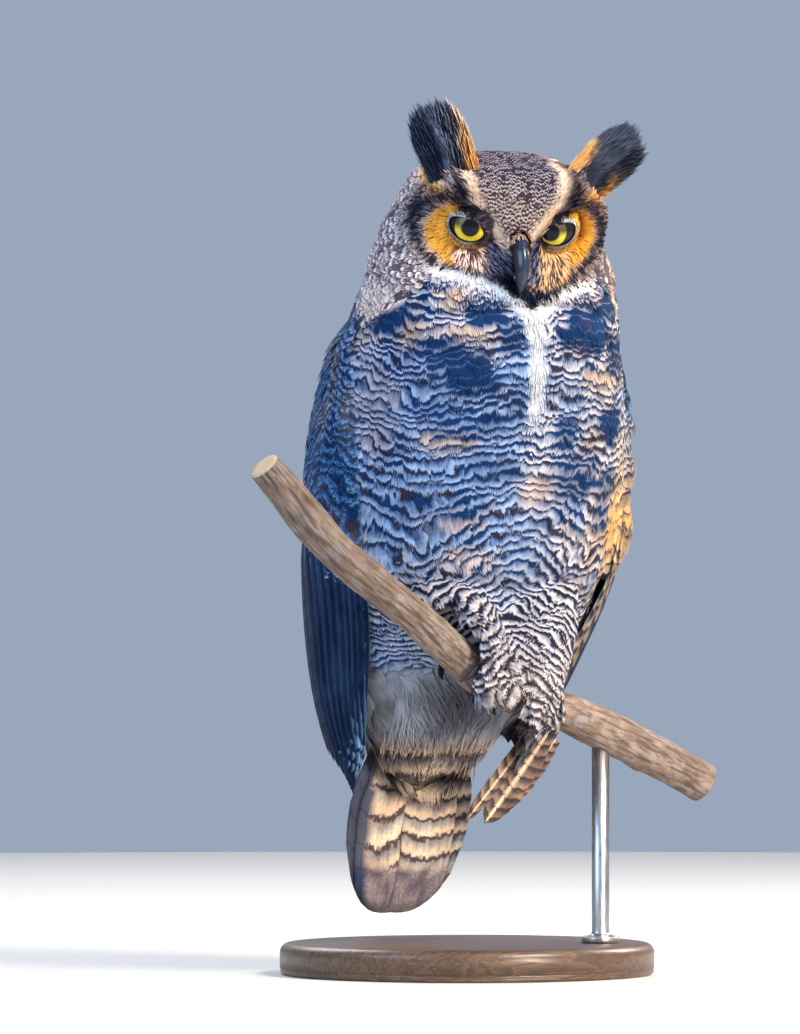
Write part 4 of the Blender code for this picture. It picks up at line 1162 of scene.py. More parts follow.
COLOUR_SHIFT = 0.0028  # each feather reads its colours up to half of this beside its own place
shift = grow.vector("MULTIPLY_ADD", grow.named("chance"), (COLOUR_SHIFT,) * 3, (-COLOUR_SHIFT / 2,) * 3)
read_at = grow.vector("ADD", grow.add("GeometryNodeInputPosition"), shift)


def read_from_base(name):
    """The base's attribute at the place nearest to each corner of each feather."""
    inputs = {"Mesh": given["Geometry"], "Value": grow.named(name), "Sample Position": read_at}
    return grow.add("GeometryNodeSampleNearestSurface", inputs, data_type="FLOAT_VECTOR")


own_bars, bars_here = grow.split(grow.named("bars")), grow.split(read_from_base("bars"))
along, counted_by_place = grow.split(grow.named("vane"))[1], grow.split(grow.named("root"))[2]
change = grow.math("SUBTRACT", bars_here[0], own_bars[0])
change = grow.math("SUBTRACT", change, grow.times(along, own_bars[1]))
phase = grow.math("MULTIPLY_ADD", change, counted_by_place, own_bars[0])
here = {name: read_from_base(name) for name in ("ground", "mark", "finish")}
for name, value in here.items():
    geometry = grow.store(geometry, name, value, "POINT")
geometry = grow.store(geometry, "bars", grow.join(phase, own_bars[1], bars_here[2]), "POINT")
geometry = grow.add("GeometryNodeSetMaterial", {"Geometry": geometry, "Material": given["Material"]})
planting.links.new(geometry, planting.nodes.new("NodeGroupOutput").inputs[0])
print("nodes in the planting tree:", len(planting.nodes))

# %% [markdown]
# ## The coat
# The skin is feathered part by part, in pieces light enough to keep. Each part has a cover: a mask over the
# skin that says where its feathers grow. The covers fill each other's gaps. Nothing grows in the eye sockets
# or where the bill leaves the head.

# %% Planting
EYE_CENTRES = {"right": (-0.0283, -0.0335, 0.0014), "left": (0.0248, -0.0335, 0.0007)}  # in the head's frame
in_head = skin_points @ TO_HEAD[:3, :3].T + TO_HEAD[:3, 3]  # anew, as the skin has been drawn in since
eye_away = np.minimum(*(np.linalg.norm(in_head - centre, axis=1) for centre in EYE_CENTRES.values()))
bare = (eye_away < 0.0156) * (back < -0.03)
bare = bare | ((np.abs(in_head[:, 0]) < 0.008) & (back < -0.036) & (up > -0.029) & (up < -0.0035))


BAKE_PATCH = 0.003


def plant(name, cover, spacing, kind, seed, longer=1.0, wider=1.0, turn=14.0, raised=0.0, base=skin):
    """Plants one part of the coat on a base, as a plain object that rides on the body. Each feather is given a
    small patch of the base's own map, at its root's place, for its colours to be baked on."""
    if "cover" in base.data.attributes:
        base.data.attributes.remove(base.data.attributes["cover"])
    write_attribute(base.data, "cover", np.clip(cover * ~bare if base is skin else cover, 0, 1), "FLOAT")
    worker = new_object(name, base.data.copy())
    modifier = worker.modifiers.new("plant", "NODES")
    modifier.node_group = planting
    values = dict(Cover="cover", Spacing=spacing, Seed=seed, Longer=longer, Wider=wider, Material=plumage)
    values.update(Feathers=collections[kind], Kinds=len(TEMPLATES[kind]))
    values.update(Turn=radians(turn), Raise=radians(raised))
    for item in planting.interface.items_tree:
        if item.in_out == "INPUT" and item.name in values:
            modifier[item.identifier] = values[item.name]
    mesh = applied(worker)
    roots = np.empty(len(mesh.vertices) * 3, dtype=np.float32)
    mesh.attributes["root"].data.foreach_get("vector", roots)
    places = at_corners(mesh, roots.reshape(-1, 3)[:, :2]) + BAKE_PATCH * (read_uv(mesh, "vane") - 0.5)
    write_uv(mesh, "OFBake", np.clip(places, 0, 1))
    for spare in ("root", "size", "lie", "out", "cover"):
        if spare in mesh.attributes:
            mesh.attributes.remove(mesh.attributes[spare])
    mesh.shade_smooth()
    print(f"{name}: {triangles(mesh)} triangles")
    finished(new_object(name, mesh, plumage))


front_part = (dorsal < 0.5) & (on_wings < 0.5) & (leg_share < 0.5) & (on_head < 0.5)
wing_edge = (skin_normals[:, 2] > 0.6) | ((np.abs(x) < 0.038) & (y > 0.06) & (z < 0.3))
wing_edge = wing_edge | (skin_normals[:, 0] * np.sign(x) < -0.05) | ((bent > 0.05) & (z > 0.36))
wing_edge = wing_edge | ((x > 0.084) & (z > 0.388) & (y < -0.01))
wing_cover = (on_wings >= 0.5) & (z > 0.268) & ~wing_edge
back_part = (dorsal >= 0.5) & (on_wings < 0.5) & (on_head < 0.5)
FACE_PARTS = ("disc", "rim", "moustache", "lores", "brow_line", "dark_brow", "chin")
is_face = np.clip(sum(grown[key] for key in FACE_PARTS), 0, 1) * on_head > 0.5
is_crown = grown["crown"] > 0.5
is_white = grown["bib"] + grown["stripe"] >= 0.5
is_down = (vent > 0.3) & (undertail < 0.5) & (np.abs(x) < 0.04)
plant("coat_breast", front_part & (z > 0.31) & ~is_white, 0.0046, "contour", 1)
plant("coat_belly", front_part & (z <= 0.31) & ~is_white, 0.0052, "contour", 2)
plant("coat_bib", front_part & is_white, 0.0022, "small", 3, turn=18)
plant("coat_back", back_part, 0.0064, "contour", 4)
plant("coat_wing_left", wing_cover & (x > 0), 0.0056, "covert", 5, turn=8)
plant("coat_wing_right", wing_cover & (x < 0), 0.0056, "covert", 6, turn=8)
plant("coat_legs", (leg_share >= 0.5) & (on_wings < 0.5), 0.0026, "small", 7)
plant("coat_crown", (on_head >= 0.5) & ~is_face & is_crown, 0.0018, "small", 8)
plant("coat_head", (on_head >= 0.5) & ~is_face & ~is_crown, 0.0026, "small", 8)
plant("coat_face", is_face, 0.00068, "hair", 9, turn=9)
plant("coat_down", is_down, 0.0015, "hair", 10, 1.15, 0.1, turn=18, raised=6)

# %% [markdown]
# ## Ear tufts
# The tufts are not ears but bunches of soft feathers that the owl raises. Each is built round a flat blade a
# little smaller than its solid, covered with dark feathers that run to its tip. The edge towards the crown
# is orange buff, as the brows run on into it.

# %% Blades of the tufts
TUFT_HALF_WIDTH, TUFT_CURL = 0.0172, 0.006
TUFT_PROFILE = (  # share of the length, share of the width, half thickness
    (0.0, 0.78, 0.005),
    (0.25, 0.92, 0.0044),
    (0.5, 0.98, 0.0034),
    (0.68, 0.9, 0.0022),
    (0.79, 0.7, 0.0013),
)
TUFT_ROWS, TUFT_POINTS = 26, 28


def ring_faces(rows, around):
    """Faces between rings of points, one ring after another."""
    corners = [(k, (k + 1) % around) for k in range(around)]
    return [
        (low + k, low + after, low + around + after, low + around + k)
        for low in range(0, (rows - 1) * around, around)
        for k, after in corners
    ]


def end_faces(rows, around):
    return [tuple(range(around))[::-1], tuple(range((rows - 1) * around, rows * around))]


def tuft_blade(side):
    """Points of a tuft's blade, row by row from root to tip, and each point's share across and along."""
    sign = -1 if side == "right" else 1
    root, tip = TUFT_ENDS[side]
    run = (tip - root).normalized()
    over = run.cross(Vector((0.22 * sign, -1.0, 0.0))).normalized()
    thick = over.cross(run).normalized()
    shares = np.linspace(0, TUFT_PROFILE[-1][0], TUFT_ROWS)
    points, places = [], []
    for share, (width, depth) in zip(shares, curve_through(TUFT_PROFILE, shares)):
        centre = root.lerp(tip, float(share)) - thick * TUFT_CURL * sin(pi * float(share))
        for k in range(TUFT_POINTS):
            angle = 2 * pi * k / TUFT_POINTS
            out_over, out_thick = cos(angle) * TUFT_HALF_WIDTH * float(width), sin(angle) * float(depth)
            bow = 0.1 * TUFT_HALF_WIDTH * cos(angle) ** 2
            points.append(HEAD_FRAME @ (centre + over * out_over + thick * (out_thick - bow)))
            places.append((-sign * cos(angle), share))
    turn = HEAD_FRAME.to_3x3()
    return np.array(points), np.array(places), np.array(turn @ run), np.array(turn @ over) * -sign


for side in ("right", "left"):
    points, places, run, inward = tuft_blade(side)
    inner, along = places.T
    outs = points - points.reshape(TUFT_ROWS, TUFT_POINTS, 3).mean(axis=1).repeat(TUFT_POINTS, axis=0)
    outs = unit(outs - run * (outs @ run)[:, None] + 0.4 * inward * inner[:, None])
    ragged_edge = 0.16 * cloud(points, 0.006, 20)
    buff_from = 0.42 if side == "right" else 0.66
    buff_share = fade(buff_from, buff_from + 0.24, inner + ragged_edge - 0.6 * fade(0.4, 0.9, along))
    if side == "left":
        fan = fade(0.35, 0.65, -inner + ragged_edge) * bump_at(along, 0.36, 0.17)
        buff_share = np.maximum(buff_share, 0.9 * fan)
    slate_share = fade(-0.4, 0.8, cloud(points, 0.009, 21) + 0.6 * along)
    slate = mix((0.055, 0.08, 0.155), (0.15, 0.19, 0.3), slate_share) * (1.0 if side == "right" else 0.5)
    warm = mix((0.92, 0.52, 0.18), (0.92, 0.74, 0.56), fade(0.35, 0.85, along))
    fields = {
        "lie": unit(run - 0.3 * inward * np.tanh(-inner * 1.2)[:, None]),
        "out": outs,
        "ground": mix(slate, warm, buff_share),
        "mark": mix((0.04, 0.048, 0.085), (0.4, 0.18, 0.05), 0.7 * buff_share),
        "bars": columns(4 * along + 0.3 * cloud(points, 0.01, 22), 2.2, 0),
        "finish": columns(0.3 * (1 - buff_share), 0.5, 0.26 - 0.16 * buff_share),
        "size": (0.0046, 0.011, radians(9)),
    }
    faces = ring_faces(TUFT_ROWS, TUFT_POINTS) + end_faces(TUFT_ROWS, TUFT_POINTS)
    blade = finished(base_object(f"tuft_{side}", points, faces, fields), f"ear_tuft_{side}")
    covered = (along > 0.12) * 1.0
    plant(f"coat_tuft_{side}", covered, 0.0016, "small", 23, base=blade)
    plant(f"fuzz_tuft_{side}", covered, 0.00058, "hair", 24, 0.7, 0.1, 26, 12, blade)

# %% [markdown]
# ## Flight feathers
# The long feathers of wing and tail are stiff, with a clear shaft and smooth edges. There are only a few
# dozen, so they are made one by one, as thin closed strips that follow the surface of the folded wing or the
# tail. Each has its own depth below that surface, so that neighbours overlap like slats and never cross.

# %% Strips for long feathers
VANE_COLUMNS = np.array([-1.0, -0.86, -0.6, -0.25, -0.04, 0.04, 0.25, 0.6, 0.86, 1.0])
VANE_STATIONS = 18
VANE_THICKNESS = 0.00022


def tip_profile(along, bluntness):
    """Half width of a long feather, as a share of its widest: narrow at the root, full, then a rounded tip."""
    opening = 0.55 + 0.45 * fade(0.0, 0.35, along)
    closing = np.clip(1 - np.clip((along - (1 - bluntness)) / (bluntness + 1e-9), 0, 1) ** 2.4, 0, 1) ** 0.5
    return opening * closing


def strip(surface, start, end, half_width, depth, bluntness, seed):
    """The points of a long feather's two sides, their places on the vane, and the feather's three chances.
    surface gives points from metres across the feather, places along it and depths below the surface."""
    random = np.random.default_rng(seed)
    across, along = VANE_COLUMNS, np.linspace(0, 1, VANE_STATIONS)[:, None] ** 0.85
    profile = tip_profile(along, bluntness)
    over = across * profile * half_width * (1 + 0.035 * random.standard_normal((VANE_STATIONS, len(across))))
    place = start + (end - start) * along
    place = place + (end - start) * 0.012 * (1 - across**2) * along
    ridge = 0.00022 * np.exp(-((across / 0.06) ** 2)) * (1 - 0.7 * along)
    camber = -0.0006 * across**2 * profile
    depths = (depth - ridge - camber, depth - camber + VANE_THICKNESS)
    sides = [surface(*(part.ravel() for part in np.broadcast_arrays(over, place, deep))) for deep in depths]
    vane = columns(0.5 + 0.5 * across, along).reshape(-1, 2)
    return np.concatenate(sides), np.tile(vane, (2, 1)), random.random(3)


def shell_faces(rows, across):
    """Faces of a closed shell whose two sides are grids of the same size, one after the other."""
    number = np.arange(rows * across).reshape(rows, across)
    top = np.stack([number[:-1, :-1], number[:-1, 1:], number[1:, 1:], number[1:, :-1]], axis=-1).reshape(-1, 4)
    shift = rows * across
    rim = np.concatenate([number[0, :], number[1:, -1], number[-1, -2::-1], number[-2:0:-1, 0]])
    after = np.roll(rim, -1)
    return np.concatenate([top, top[:, ::-1] + shift, np.stack([after, rim, rim + shift, after + shift], axis=1)])


def face_outwards(mesh):
    bm = bmesh.new()
    bm.from_mesh(mesh)
    bmesh.ops.recalc_face_normals(bm, faces=bm.faces)
    bm.to_mesh(mesh)
    bm.free()
    mesh.shade_smooth()


PAINTED = ("ground", "mark", "bars", "finish", "chance")
MAPPED = ("vane", "OFBake")


def join_strips(name, strips, paint, *nodes):
    """One piece from many strips. paint(number, points, vane) gives ground, mark, bars and finish. The two
    sides of each strip lie side by side in a cell of their own on the unwrap."""
    cells = ceil(sqrt(len(strips) * 4))
    grid = np.array((cells, ceil(len(strips) / cells)))
    shell = shell_faces(VANE_STATIONS, len(VANE_COLUMNS))
    fields = {key: [] for key in ("points", "faces", *MAPPED, *PAINTED)}
    for number, (points, vane, chance) in enumerate(strips):
        cell = np.array((number % cells, number // cells)) / grid
        half = np.repeat((0.0, 0.5), len(points) // 2)
        made = {**paint(number, points, vane), "points": points, "vane": vane, "chance": chance}
        made["OFBake"] = cell + 0.92 / grid * columns(vane[:, 0] * 0.48 + half, vane[:, 1])
        made["faces"] = shell + number * len(points)
        for key, rows in fields.items():
            rows.append(np.broadcast_to(made[key], points.shape) if key in PAINTED else made[key])
    fields = {key: np.concatenate(rows) for key, rows in fields.items()}
    mesh = mesh_from(name, fields["points"], fields["faces"])
    for key in PAINTED:
        write_attribute(mesh, key, fields[key])
    for key in MAPPED:
        write_uv(mesh, key, at_corners(mesh, fields[key]))
    face_outwards(mesh)
    print(f"{name}: {len(strips)} feathers, {triangles(mesh)} triangles")
    finished(new_object(name, mesh, plumage), *nodes)


# %% [markdown]
# The folded wing is an upright half shell round the flank. At each height an arc of an ellipse runs from the
# wing's front edge to its back edge, and a share from 0 to 1 tells how far along it a point lies. The
# outermost primaries make the front edge and the tip; the secondaries lie over them, towards the back.

# %% Flight feathers of the wings
WING_LEVELS = (  # height, widest y, half width, depth before and behind, front and back edge in degrees
    (0.424, -0.031, 0.081, 0.066, 0.068, 2, 40),
    (0.412, -0.027, 0.0925, 0.075, 0.088, -4, 58),
    (0.393, -0.018, 0.099, 0.082, 0.092, -10, 70),
    (0.362, -0.01, 0.105, 0.09, 0.095, -18, 77),
    (0.33, -0.004, 0.1085, 0.095, 0.097, -25, 81),
    (0.299, -0.001, 0.109, 0.095, 0.099, -27, 84),
    (0.267, 0.004, 0.1068, 0.09, 0.099, -30, 86),
    (0.236, 0.015, 0.102, 0.076, 0.091, -36, 87),
    (0.204, 0.03, 0.0945, 0.062, 0.078, -40, 86),
    (0.179, 0.042, 0.087, 0.055, 0.066, -40, 83),
    (0.157, 0.052, 0.0785, 0.05, 0.056, -38, 75),
    (0.135, 0.06, 0.068, 0.045, 0.046, -32, 60),
    (0.122, 0.064, 0.0605, 0.04, 0.038, -18, 42),
    (0.113, 0.067, 0.054, 0.036, 0.032, 0, 22),
)


def on_wing(sign, share_at, over, height, depth):
    """Points of the wing's outside, at metres across a feather, heights and depths below the surface."""
    widest, half_width, before, behind, first, last = curve_through(sorted(WING_LEVELS), height).T
    arc = 0.5 * (half_width + 0.5 * (before + behind)) * np.radians(last - first)
    angle = np.radians(first + (last - first) * np.clip(share_at + over / arc, 0, 1))
    deep = np.where(angle < 0, before, behind)
    outward = unit(columns(np.cos(angle) / half_width, np.sin(angle) / deep))
    inside = depth + 0.003 * fade(0.262, 0.292, height)  # the roots lie deeper, under the small feathers
    place_x = half_width * np.cos(angle) - outward[:, 0] * inside
    place_y = widest + deep * np.sin(angle) - outward[:, 1] * inside
    return columns(sign * place_x, place_y, height)


FLIGHT_GROUPS = (  # top height, half width, and each feather's share across the wing and tip height
    (0.292, 0.0085, ((0.03, 0.136), (0.052, 0.12), (0.076, 0.1135), (0.102, 0.115))),
    (0.292, 0.01, ((0.135, 0.117), (0.175, 0.12), (0.22, 0.123), (0.27, 0.127))),
    (0.3, 0.0125, ((0.33, 0.131), (0.4, 0.135), (0.47, 0.139), (0.54, 0.142))),
    (0.315, 0.015, ((0.61, 0.145), (0.69, 0.149), (0.77, 0.155))),
    (0.33, 0.016, ((0.85, 0.166), (0.93, 0.182))),
)
FLIGHTS = [(share, top, tip, wide) for top, wide, feathers in FLIGHT_GROUPS for share, tip in feathers]
FLIGHT_STEP = 0.00026  # each feather lies this much deeper than the next one towards the back


def wing_strip(sign, number):
    share, top, tip, half_width = FLIGHTS[number]
    depth = 0.0006 + FLIGHT_STEP * (len(FLIGHTS) - number)
    blunt = 0.16 if number < 8 else 0.12
    return strip(partial(on_wing, sign, share), top, tip, half_width, depth, blunt, 100 * number + (sign > 0))


def paint_flight(number, points, vane):
    side, along = 2 * vane[:, 0] - 1, vane[:, 1]
    inner = float(fade(7, 13, number))  # slate outside, brown and barred inside
    slate_share = fade(-0.4, 0.8, cloud(points, (0.01, 0.01, 0.04), 30))
    tan, tan_share = (0.14, 0.12, 0.12), 0.6 * inner
    if number < 4 and points[:, 0].mean() > 0:  # the left wing's front edge shows its barred underside
        inner, tan, tan_share = 0.7, (0.42, 0.3, 0.2), 0.9
    pale_edge = fade(-0.78, -0.97, side) * (1 - 0.45 * inner)
    ground = mix(mix((0.001, 0.008, 0.036), (0.008, 0.026, 0.07), slate_share), tan, tan_share)
    ground = mix(ground, (0.2, 0.36, 0.6), pale_edge)
    return {
        "ground": mix(ground, (0.05, 0.1, 0.2), bump_at(side, 0, 0.05) * 0.5),
        "mark": mix((0.004, 0.01, 0.03), (0.035, 0.024, 0.028), inner),
        "bars": columns(along * (0.292 - 0.12) / 0.0135 + 1.7 * number, 0, 0.48 * inner * (1 - pale_edge)),
        "finish": columns(0.22 * (1 - pale_edge), 0.25, 0),
    }


for side, sign in (("right", -1), ("left", 1)):
    strips = [wing_strip(sign, number) for number in range(len(FLIGHTS))]
    join_strips(f"flight_{side}", strips, paint_flight, f"flight_feathers_{side}")

# %% [markdown]
# The closed tail has twelve feathers. From below, the outermost one of each side covers the rest, so the
# underside shows two broad pale vanes, each with its own thin dark bars. From above, the middle pair lies on
# top.

# %% Tail feathers
TAIL_ROOT, TAIL_TIP = np.array((0.0, 0.06, 0.196)), np.array((-0.008, 0.093, 0.0365))
TAIL_HALF_WIDTHS = ((0.0, 0.027), (0.3, 0.036), (0.55, 0.042), (0.8, 0.0415), (1.0, 0.034))
TAIL_ROUNDING, TAIL_SAG, TAIL_ARCH, TAIL_DROP = 0.135, 0.01, 0.007, 0.004
RECTRICES = (  # across the tail at its tip, tip as a share of the length, depth from the back in mm
    (0.22, 1.0, 0.5),
    (0.36, 1.0, 0.9),
    (0.46, 0.997, 1.3),
    (0.54, 0.994, 1.7),
    (0.6, 0.99, 2.1),
    (0.4, 0.996, 2.9),
)
TAIL_VANE = 0.0165


def on_tail(sign, centre_share, over, along, depth):
    half_width = curve_through(TAIL_HALF_WIDTHS, along)[:, 0]
    centre = sign * centre_share * (0.35 + 0.65 * fade(0, 0.7, along))
    across = np.clip(centre + over / half_width, -1, 1)
    place = TAIL_ROOT + (TAIL_TIP - TAIL_ROOT) * (along * (1 - TAIL_ROUNDING * np.abs(across) ** 3))[:, None]
    lift_back = TAIL_SAG * np.sin(np.pi * 0.5 * along) + TAIL_ARCH * (1 - across**2) - TAIL_DROP
    return place + columns(across * half_width, lift_back - depth, 0)


TAIL_ORDER = [(sign, rank) for sign in (-1, 1) for rank in range(len(RECTRICES))]


def tail_strip(sign, rank):
    centre_share, tip, depth = RECTRICES[rank]
    depth, seed = depth / 1000 + (0.0002 if sign > 0 else 0.0), 500 + 10 * rank + (sign > 0)
    return strip(partial(on_tail, sign, centre_share), 0.02, tip, TAIL_VANE, depth, 0.0, seed)


def paint_tail(number, points, vane):
    sign, rank = TAIL_ORDER[number]
    hidden, height = rank < 5, points[:, 2]
    end_fade = fade(0.06, 0.068, height)
    buff = mix((0.66, 0.49, 0.35), (0.84, 0.7, 0.54), fade(-0.4, 0.6, cloud(points, 0.018, 40)))
    tip_colour = mix((0.1, 0.09, 0.12), (0.26, 0.21, 0.22), fade(-0.4, 0.4, cloud(points, 0.01, 41)))
    ground = mix(mix(tip_colour, buff, end_fade), (0.1, 0.08, 0.11), 0.2 if hidden else 0.0)
    # painted shade: the tail's edge on the owl's right is painted dark blue with faint bars, where the wing shades
    # it
    shaded_edge = fade(-0.026, -0.0295, points[:, 0] + 0.0008 * cloud(points, 0.006, 42))
    duty = (0.22 * end_fade + 0.04 * bump_at(height, 0.072, 0.006)) * (1 - 0.8 * shaded_edge)
    return {
        "ground": mix(ground, (0.016, 0.034, 0.085), 0.92 * shaded_edge),
        "mark": mix((0.072, 0.047, 0.046), (0.01, 0.018, 0.045), shaded_edge),
        "bars": columns(tail_phase(height, sign), 0, duty + (0.1 if hidden else 0.0) * (1 - shaded_edge)),
        "finish": columns(0.14 + 0.26 * (1 - end_fade), 0.35, 0),
    }


join_strips("tail_feathers", [tail_strip(*place) for place in TAIL_ORDER], paint_tail, "tail")

# three inner wing feathers slip out under the left leg, seen from their buff underside
FAN = (  # root and tip: across, back, height; half width
    ((0.075, 0.05, 0.16), (0.0205, 0.042, 0.0955), 0.005),
    ((0.08, 0.051, 0.152), (0.035, 0.045, 0.0935), 0.01),
    ((0.085, 0.052, 0.146), (0.048, 0.048, 0.101), 0.007),
)


def on_fan(root, tip, over, along, depth):
    root, tip, back = np.array(root), np.array(tip), np.array((0.0, 1.0, 0.0))
    beside = np.cross((tip - root) / np.linalg.norm(tip - root), back)
    over, along, depth = over[:, None], along[:, None], depth[:, None]
    return root + (tip - root) * along + beside * over + back * (depth + 0.006 * along**2)


def paint_fan(number, points, vane):
    shaft = bump_at(2 * vane[:, 0] - 1, 0.0, 0.09)
    buff = mix((0.21, 0.135, 0.1), (0.36, 0.24, 0.17), fade(-0.4, 0.6, cloud(points, 0.01, 45)))
    return {
        "ground": mix(buff, (0.8, 0.62, 0.44), shaft),
        "mark": (0.06, 0.036, 0.032),
        "bars": columns(vane[:, 1] * 9 + 0.9 * number, 0, 0.26 * (1 - shaft)),
        "finish": columns(0.25 * (1 - shaft), 0.5, 0),
    }


fan_strips = [
    strip(partial(on_fan, root, tip), 0.0, 1.0, wide, 0.0009 * rank, 0.45, 700 + rank)
    for rank, (root, tip, wide) in enumerate(FAN)
]
join_strips("wing_fan", fan_strips, paint_fan)

# %% [markdown]
# ## Eyes
# An owl's eyes can't roll, but are huge and look forward. Each eyeball is turned from rings about the line
# it looks along, with the cornea a little proud. The iris is painted by the distance from that line, kept on
# the mesh as an attribute: a black pupil, a yellow iris with fine spokes, painted darker above as the shade
# of the brow, and a dark rim.

# %% Eyeballs
EYE_RADIUS, CORNEA_BULGE = 0.0148, 0.0011
GAZE = {"right": (-13.5, 8.0), "left": (-18.5, 5.5)}  # degrees to the owl's left, and up, in the head's frame
PUPIL_SIZE, IRIS_SIZE = 0.0056, 0.01
EYE_RINGS, EYE_SPOKES = 40, 64


def gaze_frame(side, turn, rise):
    """A frame at the middle of an eye, whose Z runs out along the gaze and whose X runs to the owl's left."""
    centre = HEAD_FRAME @ Vector(EYE_CENTRES[side])
    look = Matrix.Rotation(radians(turn), 4, "Z") @ Matrix.Rotation(-radians(rise), 4, "X")
    forward = Matrix(((1, 0, 0, 0), (0, 0, -1, 0), (0, 1, 0, 0), (0, 0, 0, 1)))  # local Z to -Y, local Y to Z
    return Matrix.Translation(centre) @ HEAD_FRAME.to_3x3().to_4x4() @ look @ forward


def rings_mesh(name, rings):
    """A closed mesh from rings of points of the same count."""
    shape = len(rings), len(rings[0])
    mesh = mesh_from(name, np.concatenate(rings), ring_faces(*shape) + end_faces(*shape))
    face_outwards(mesh)
    return mesh


def eye_material():
    paint = Painter("owl_eye", Roughness=0.35, Coat_Weight=0.45, Coat_Roughness=0.02, Specular_IOR_Level=0.05)
    spot = paint.attribute("gaze")
    parts, distance = paint.split(spot), paint.vector("LENGTH", spot)
    turned = paint.times(paint.math("ARCTAN2", parts[1], parts[0]), 9.0)
    spokes = paint.speckle(paint.join(turned, paint.times(distance, 0.35), 0.0), 1.6, 4.0)
    iris = paint.mix(spokes, (0.55, 0.36, 0.015), (0.95, 0.8, 0.06))
    # painted shade: the upper part of the iris is painted dark, as the brow shades it
    iris = paint.mix(paint.fade(parts[1], -3.0, 2.0), iris, (0.085, 0.072, 0.03))
    for low, high, start, end, colour in (
        (PUPIL_SIZE, PUPIL_SIZE + 0.0014, 0.6, 0.0, (0.12, 0.08, 0.02)),
        (IRIS_SIZE - 0.0008, IRIS_SIZE, 0.0, 1.0, (0.012, 0.009, 0.009)),
        (PUPIL_SIZE - 0.0002, PUPIL_SIZE, 1.0, 0.0, (0.002, 0.003, 0.008)),
    ):
        iris = paint.mix(paint.fade(distance, 1000 * low, 1000 * high, start, end), iris, colour)
    return paint.finish(Base_Color=iris)


wet_eye = eye_material()
spokes = [2 * pi * k / EYE_SPOKES for k in range(EYE_SPOKES)]
for side, (turn, rise) in GAZE.items():
    frame_of_eye = gaze_frame(side, turn, rise)
    rings, spots = [], []
    for ring in range(1, EYE_RINGS):
        angle = pi * ring / EYE_RINGS
        bulge = CORNEA_BULGE * float(fade(0.68, 0.97, cos(angle)))
        away, ahead = EYE_RADIUS * sin(angle), EYE_RADIUS * cos(angle) + bulge
        ring_points = [frame_of_eye @ Vector((away * cos(a), away * sin(a), ahead)) for a in spokes]
        rings.append(np.array(ring_points))
        far = away if cos(angle) > 0 else 2 * EYE_RADIUS
        spots += [(1000 * far * cos(a), 1000 * far * sin(a), 0.0) for a in spokes]
    eye_mesh = rings_mesh(f"eyeball_{side}", rings)
    write_attribute(eye_mesh, "gaze", spots)
    finished(new_object(f"eyeball_{side}", eye_mesh, wet_eye), f"eye_{side}")
print("iris", round(2000 * IRIS_SIZE, 1), "mm across, pupil", round(2000 * PUPIL_SIZE, 1), "mm")

# %% [markdown]
# The lids are rings that lie on the eyeball, each with a dark wet rim, a pale feathered crescent at the outer
# end of the upper lid, and fine folds under the eye. The rest of the upper lid is painted near black as the
# brow's shade, and the folds and the inner corner are painted dark, mottled with pale, as shade in the creases.
# The opening is an oval that rises outwards. Each row of points has a distance from the rim, and a height above
# the ball, which draws the folds.

# %% Lids
LID_AXIS = {"right": (-24.0, 2.0), "left": (9.0, 3.0)}
OPENING_WIDE = {"right": 0.0109, "left": 0.01}
OPENING_UP, OPENING_DOWN, OPENING_SLANT = 0.0054, 0.0068, radians(17)
LID_ROWS = (  # from the rim outwards: distance, height above the ball at the upper and at the lower lid, in mm
    (0.0, -0.1, -0.1),
    (0.1, 0.45, 0.45),
    (0.5, 0.8, 0.75),
    (1.0, 0.85, 0.72),
    (1.5, 0.75, 0.95),
    (2.1, 0.95, 1.05),
    (2.7, 1.2, 0.7),
    (3.3, 1.35, 1.0),
    (3.9, 1.45, 1.15),
    (4.5, 1.5, 0.85),
    (5.2, 1.55, 1.1),
    (6.2, 1.5, 1.2),
    (7.4, 1.2, 1.0),
    (9.0, 0.5, 0.4),
    (11.0, -0.8, -0.9),
)
LID_POINTS = 96


def lid_of(side):
    """Points of a lid, their outward and away directions, and for each its distance from the rim, its share
    of the upper lid and how far it lies to the outside."""
    sign = -1 if side == "right" else 1
    frame_of_lid = gaze_frame(side, *LID_AXIS[side])
    turn = frame_of_lid.to_3x3()
    points, outs, aways, details = [], [], [], []
    for distance, above, below in LID_ROWS:
        for k in range(LID_POINTS):
            angle = 2 * pi * k / LID_POINTS
            out_side, upward = sign * cos(angle), sin(angle)
            turned = atan2(upward, out_side) - OPENING_SLANT
            high = OPENING_UP if sin(turned) > 0 else OPENING_DOWN
            opening = 1 / hypot(cos(turned) / OPENING_WIDE[side], sin(turned) / high)
            polar = asin(min(opening / EYE_RADIUS, 0.99)) + distance / 1000 / EYE_RADIUS
            upper = float(fade(-0.25, 0.25, upward))
            radius = EYE_RADIUS + (above * upper + below * (1 - upper)) / 1000
            direction = Vector((sin(polar) * cos(angle), sin(polar) * sin(angle), cos(polar)))
            away = Vector((cos(polar) * cos(angle), cos(polar) * sin(angle), -sin(polar)))
            points.append(frame_of_lid @ (direction * radius))
            outs.append(turn @ direction)
            aways.append(turn @ away)
            details.append((distance, upper, out_side))
    return (np.array(values) for values in (points, outs, aways, details))


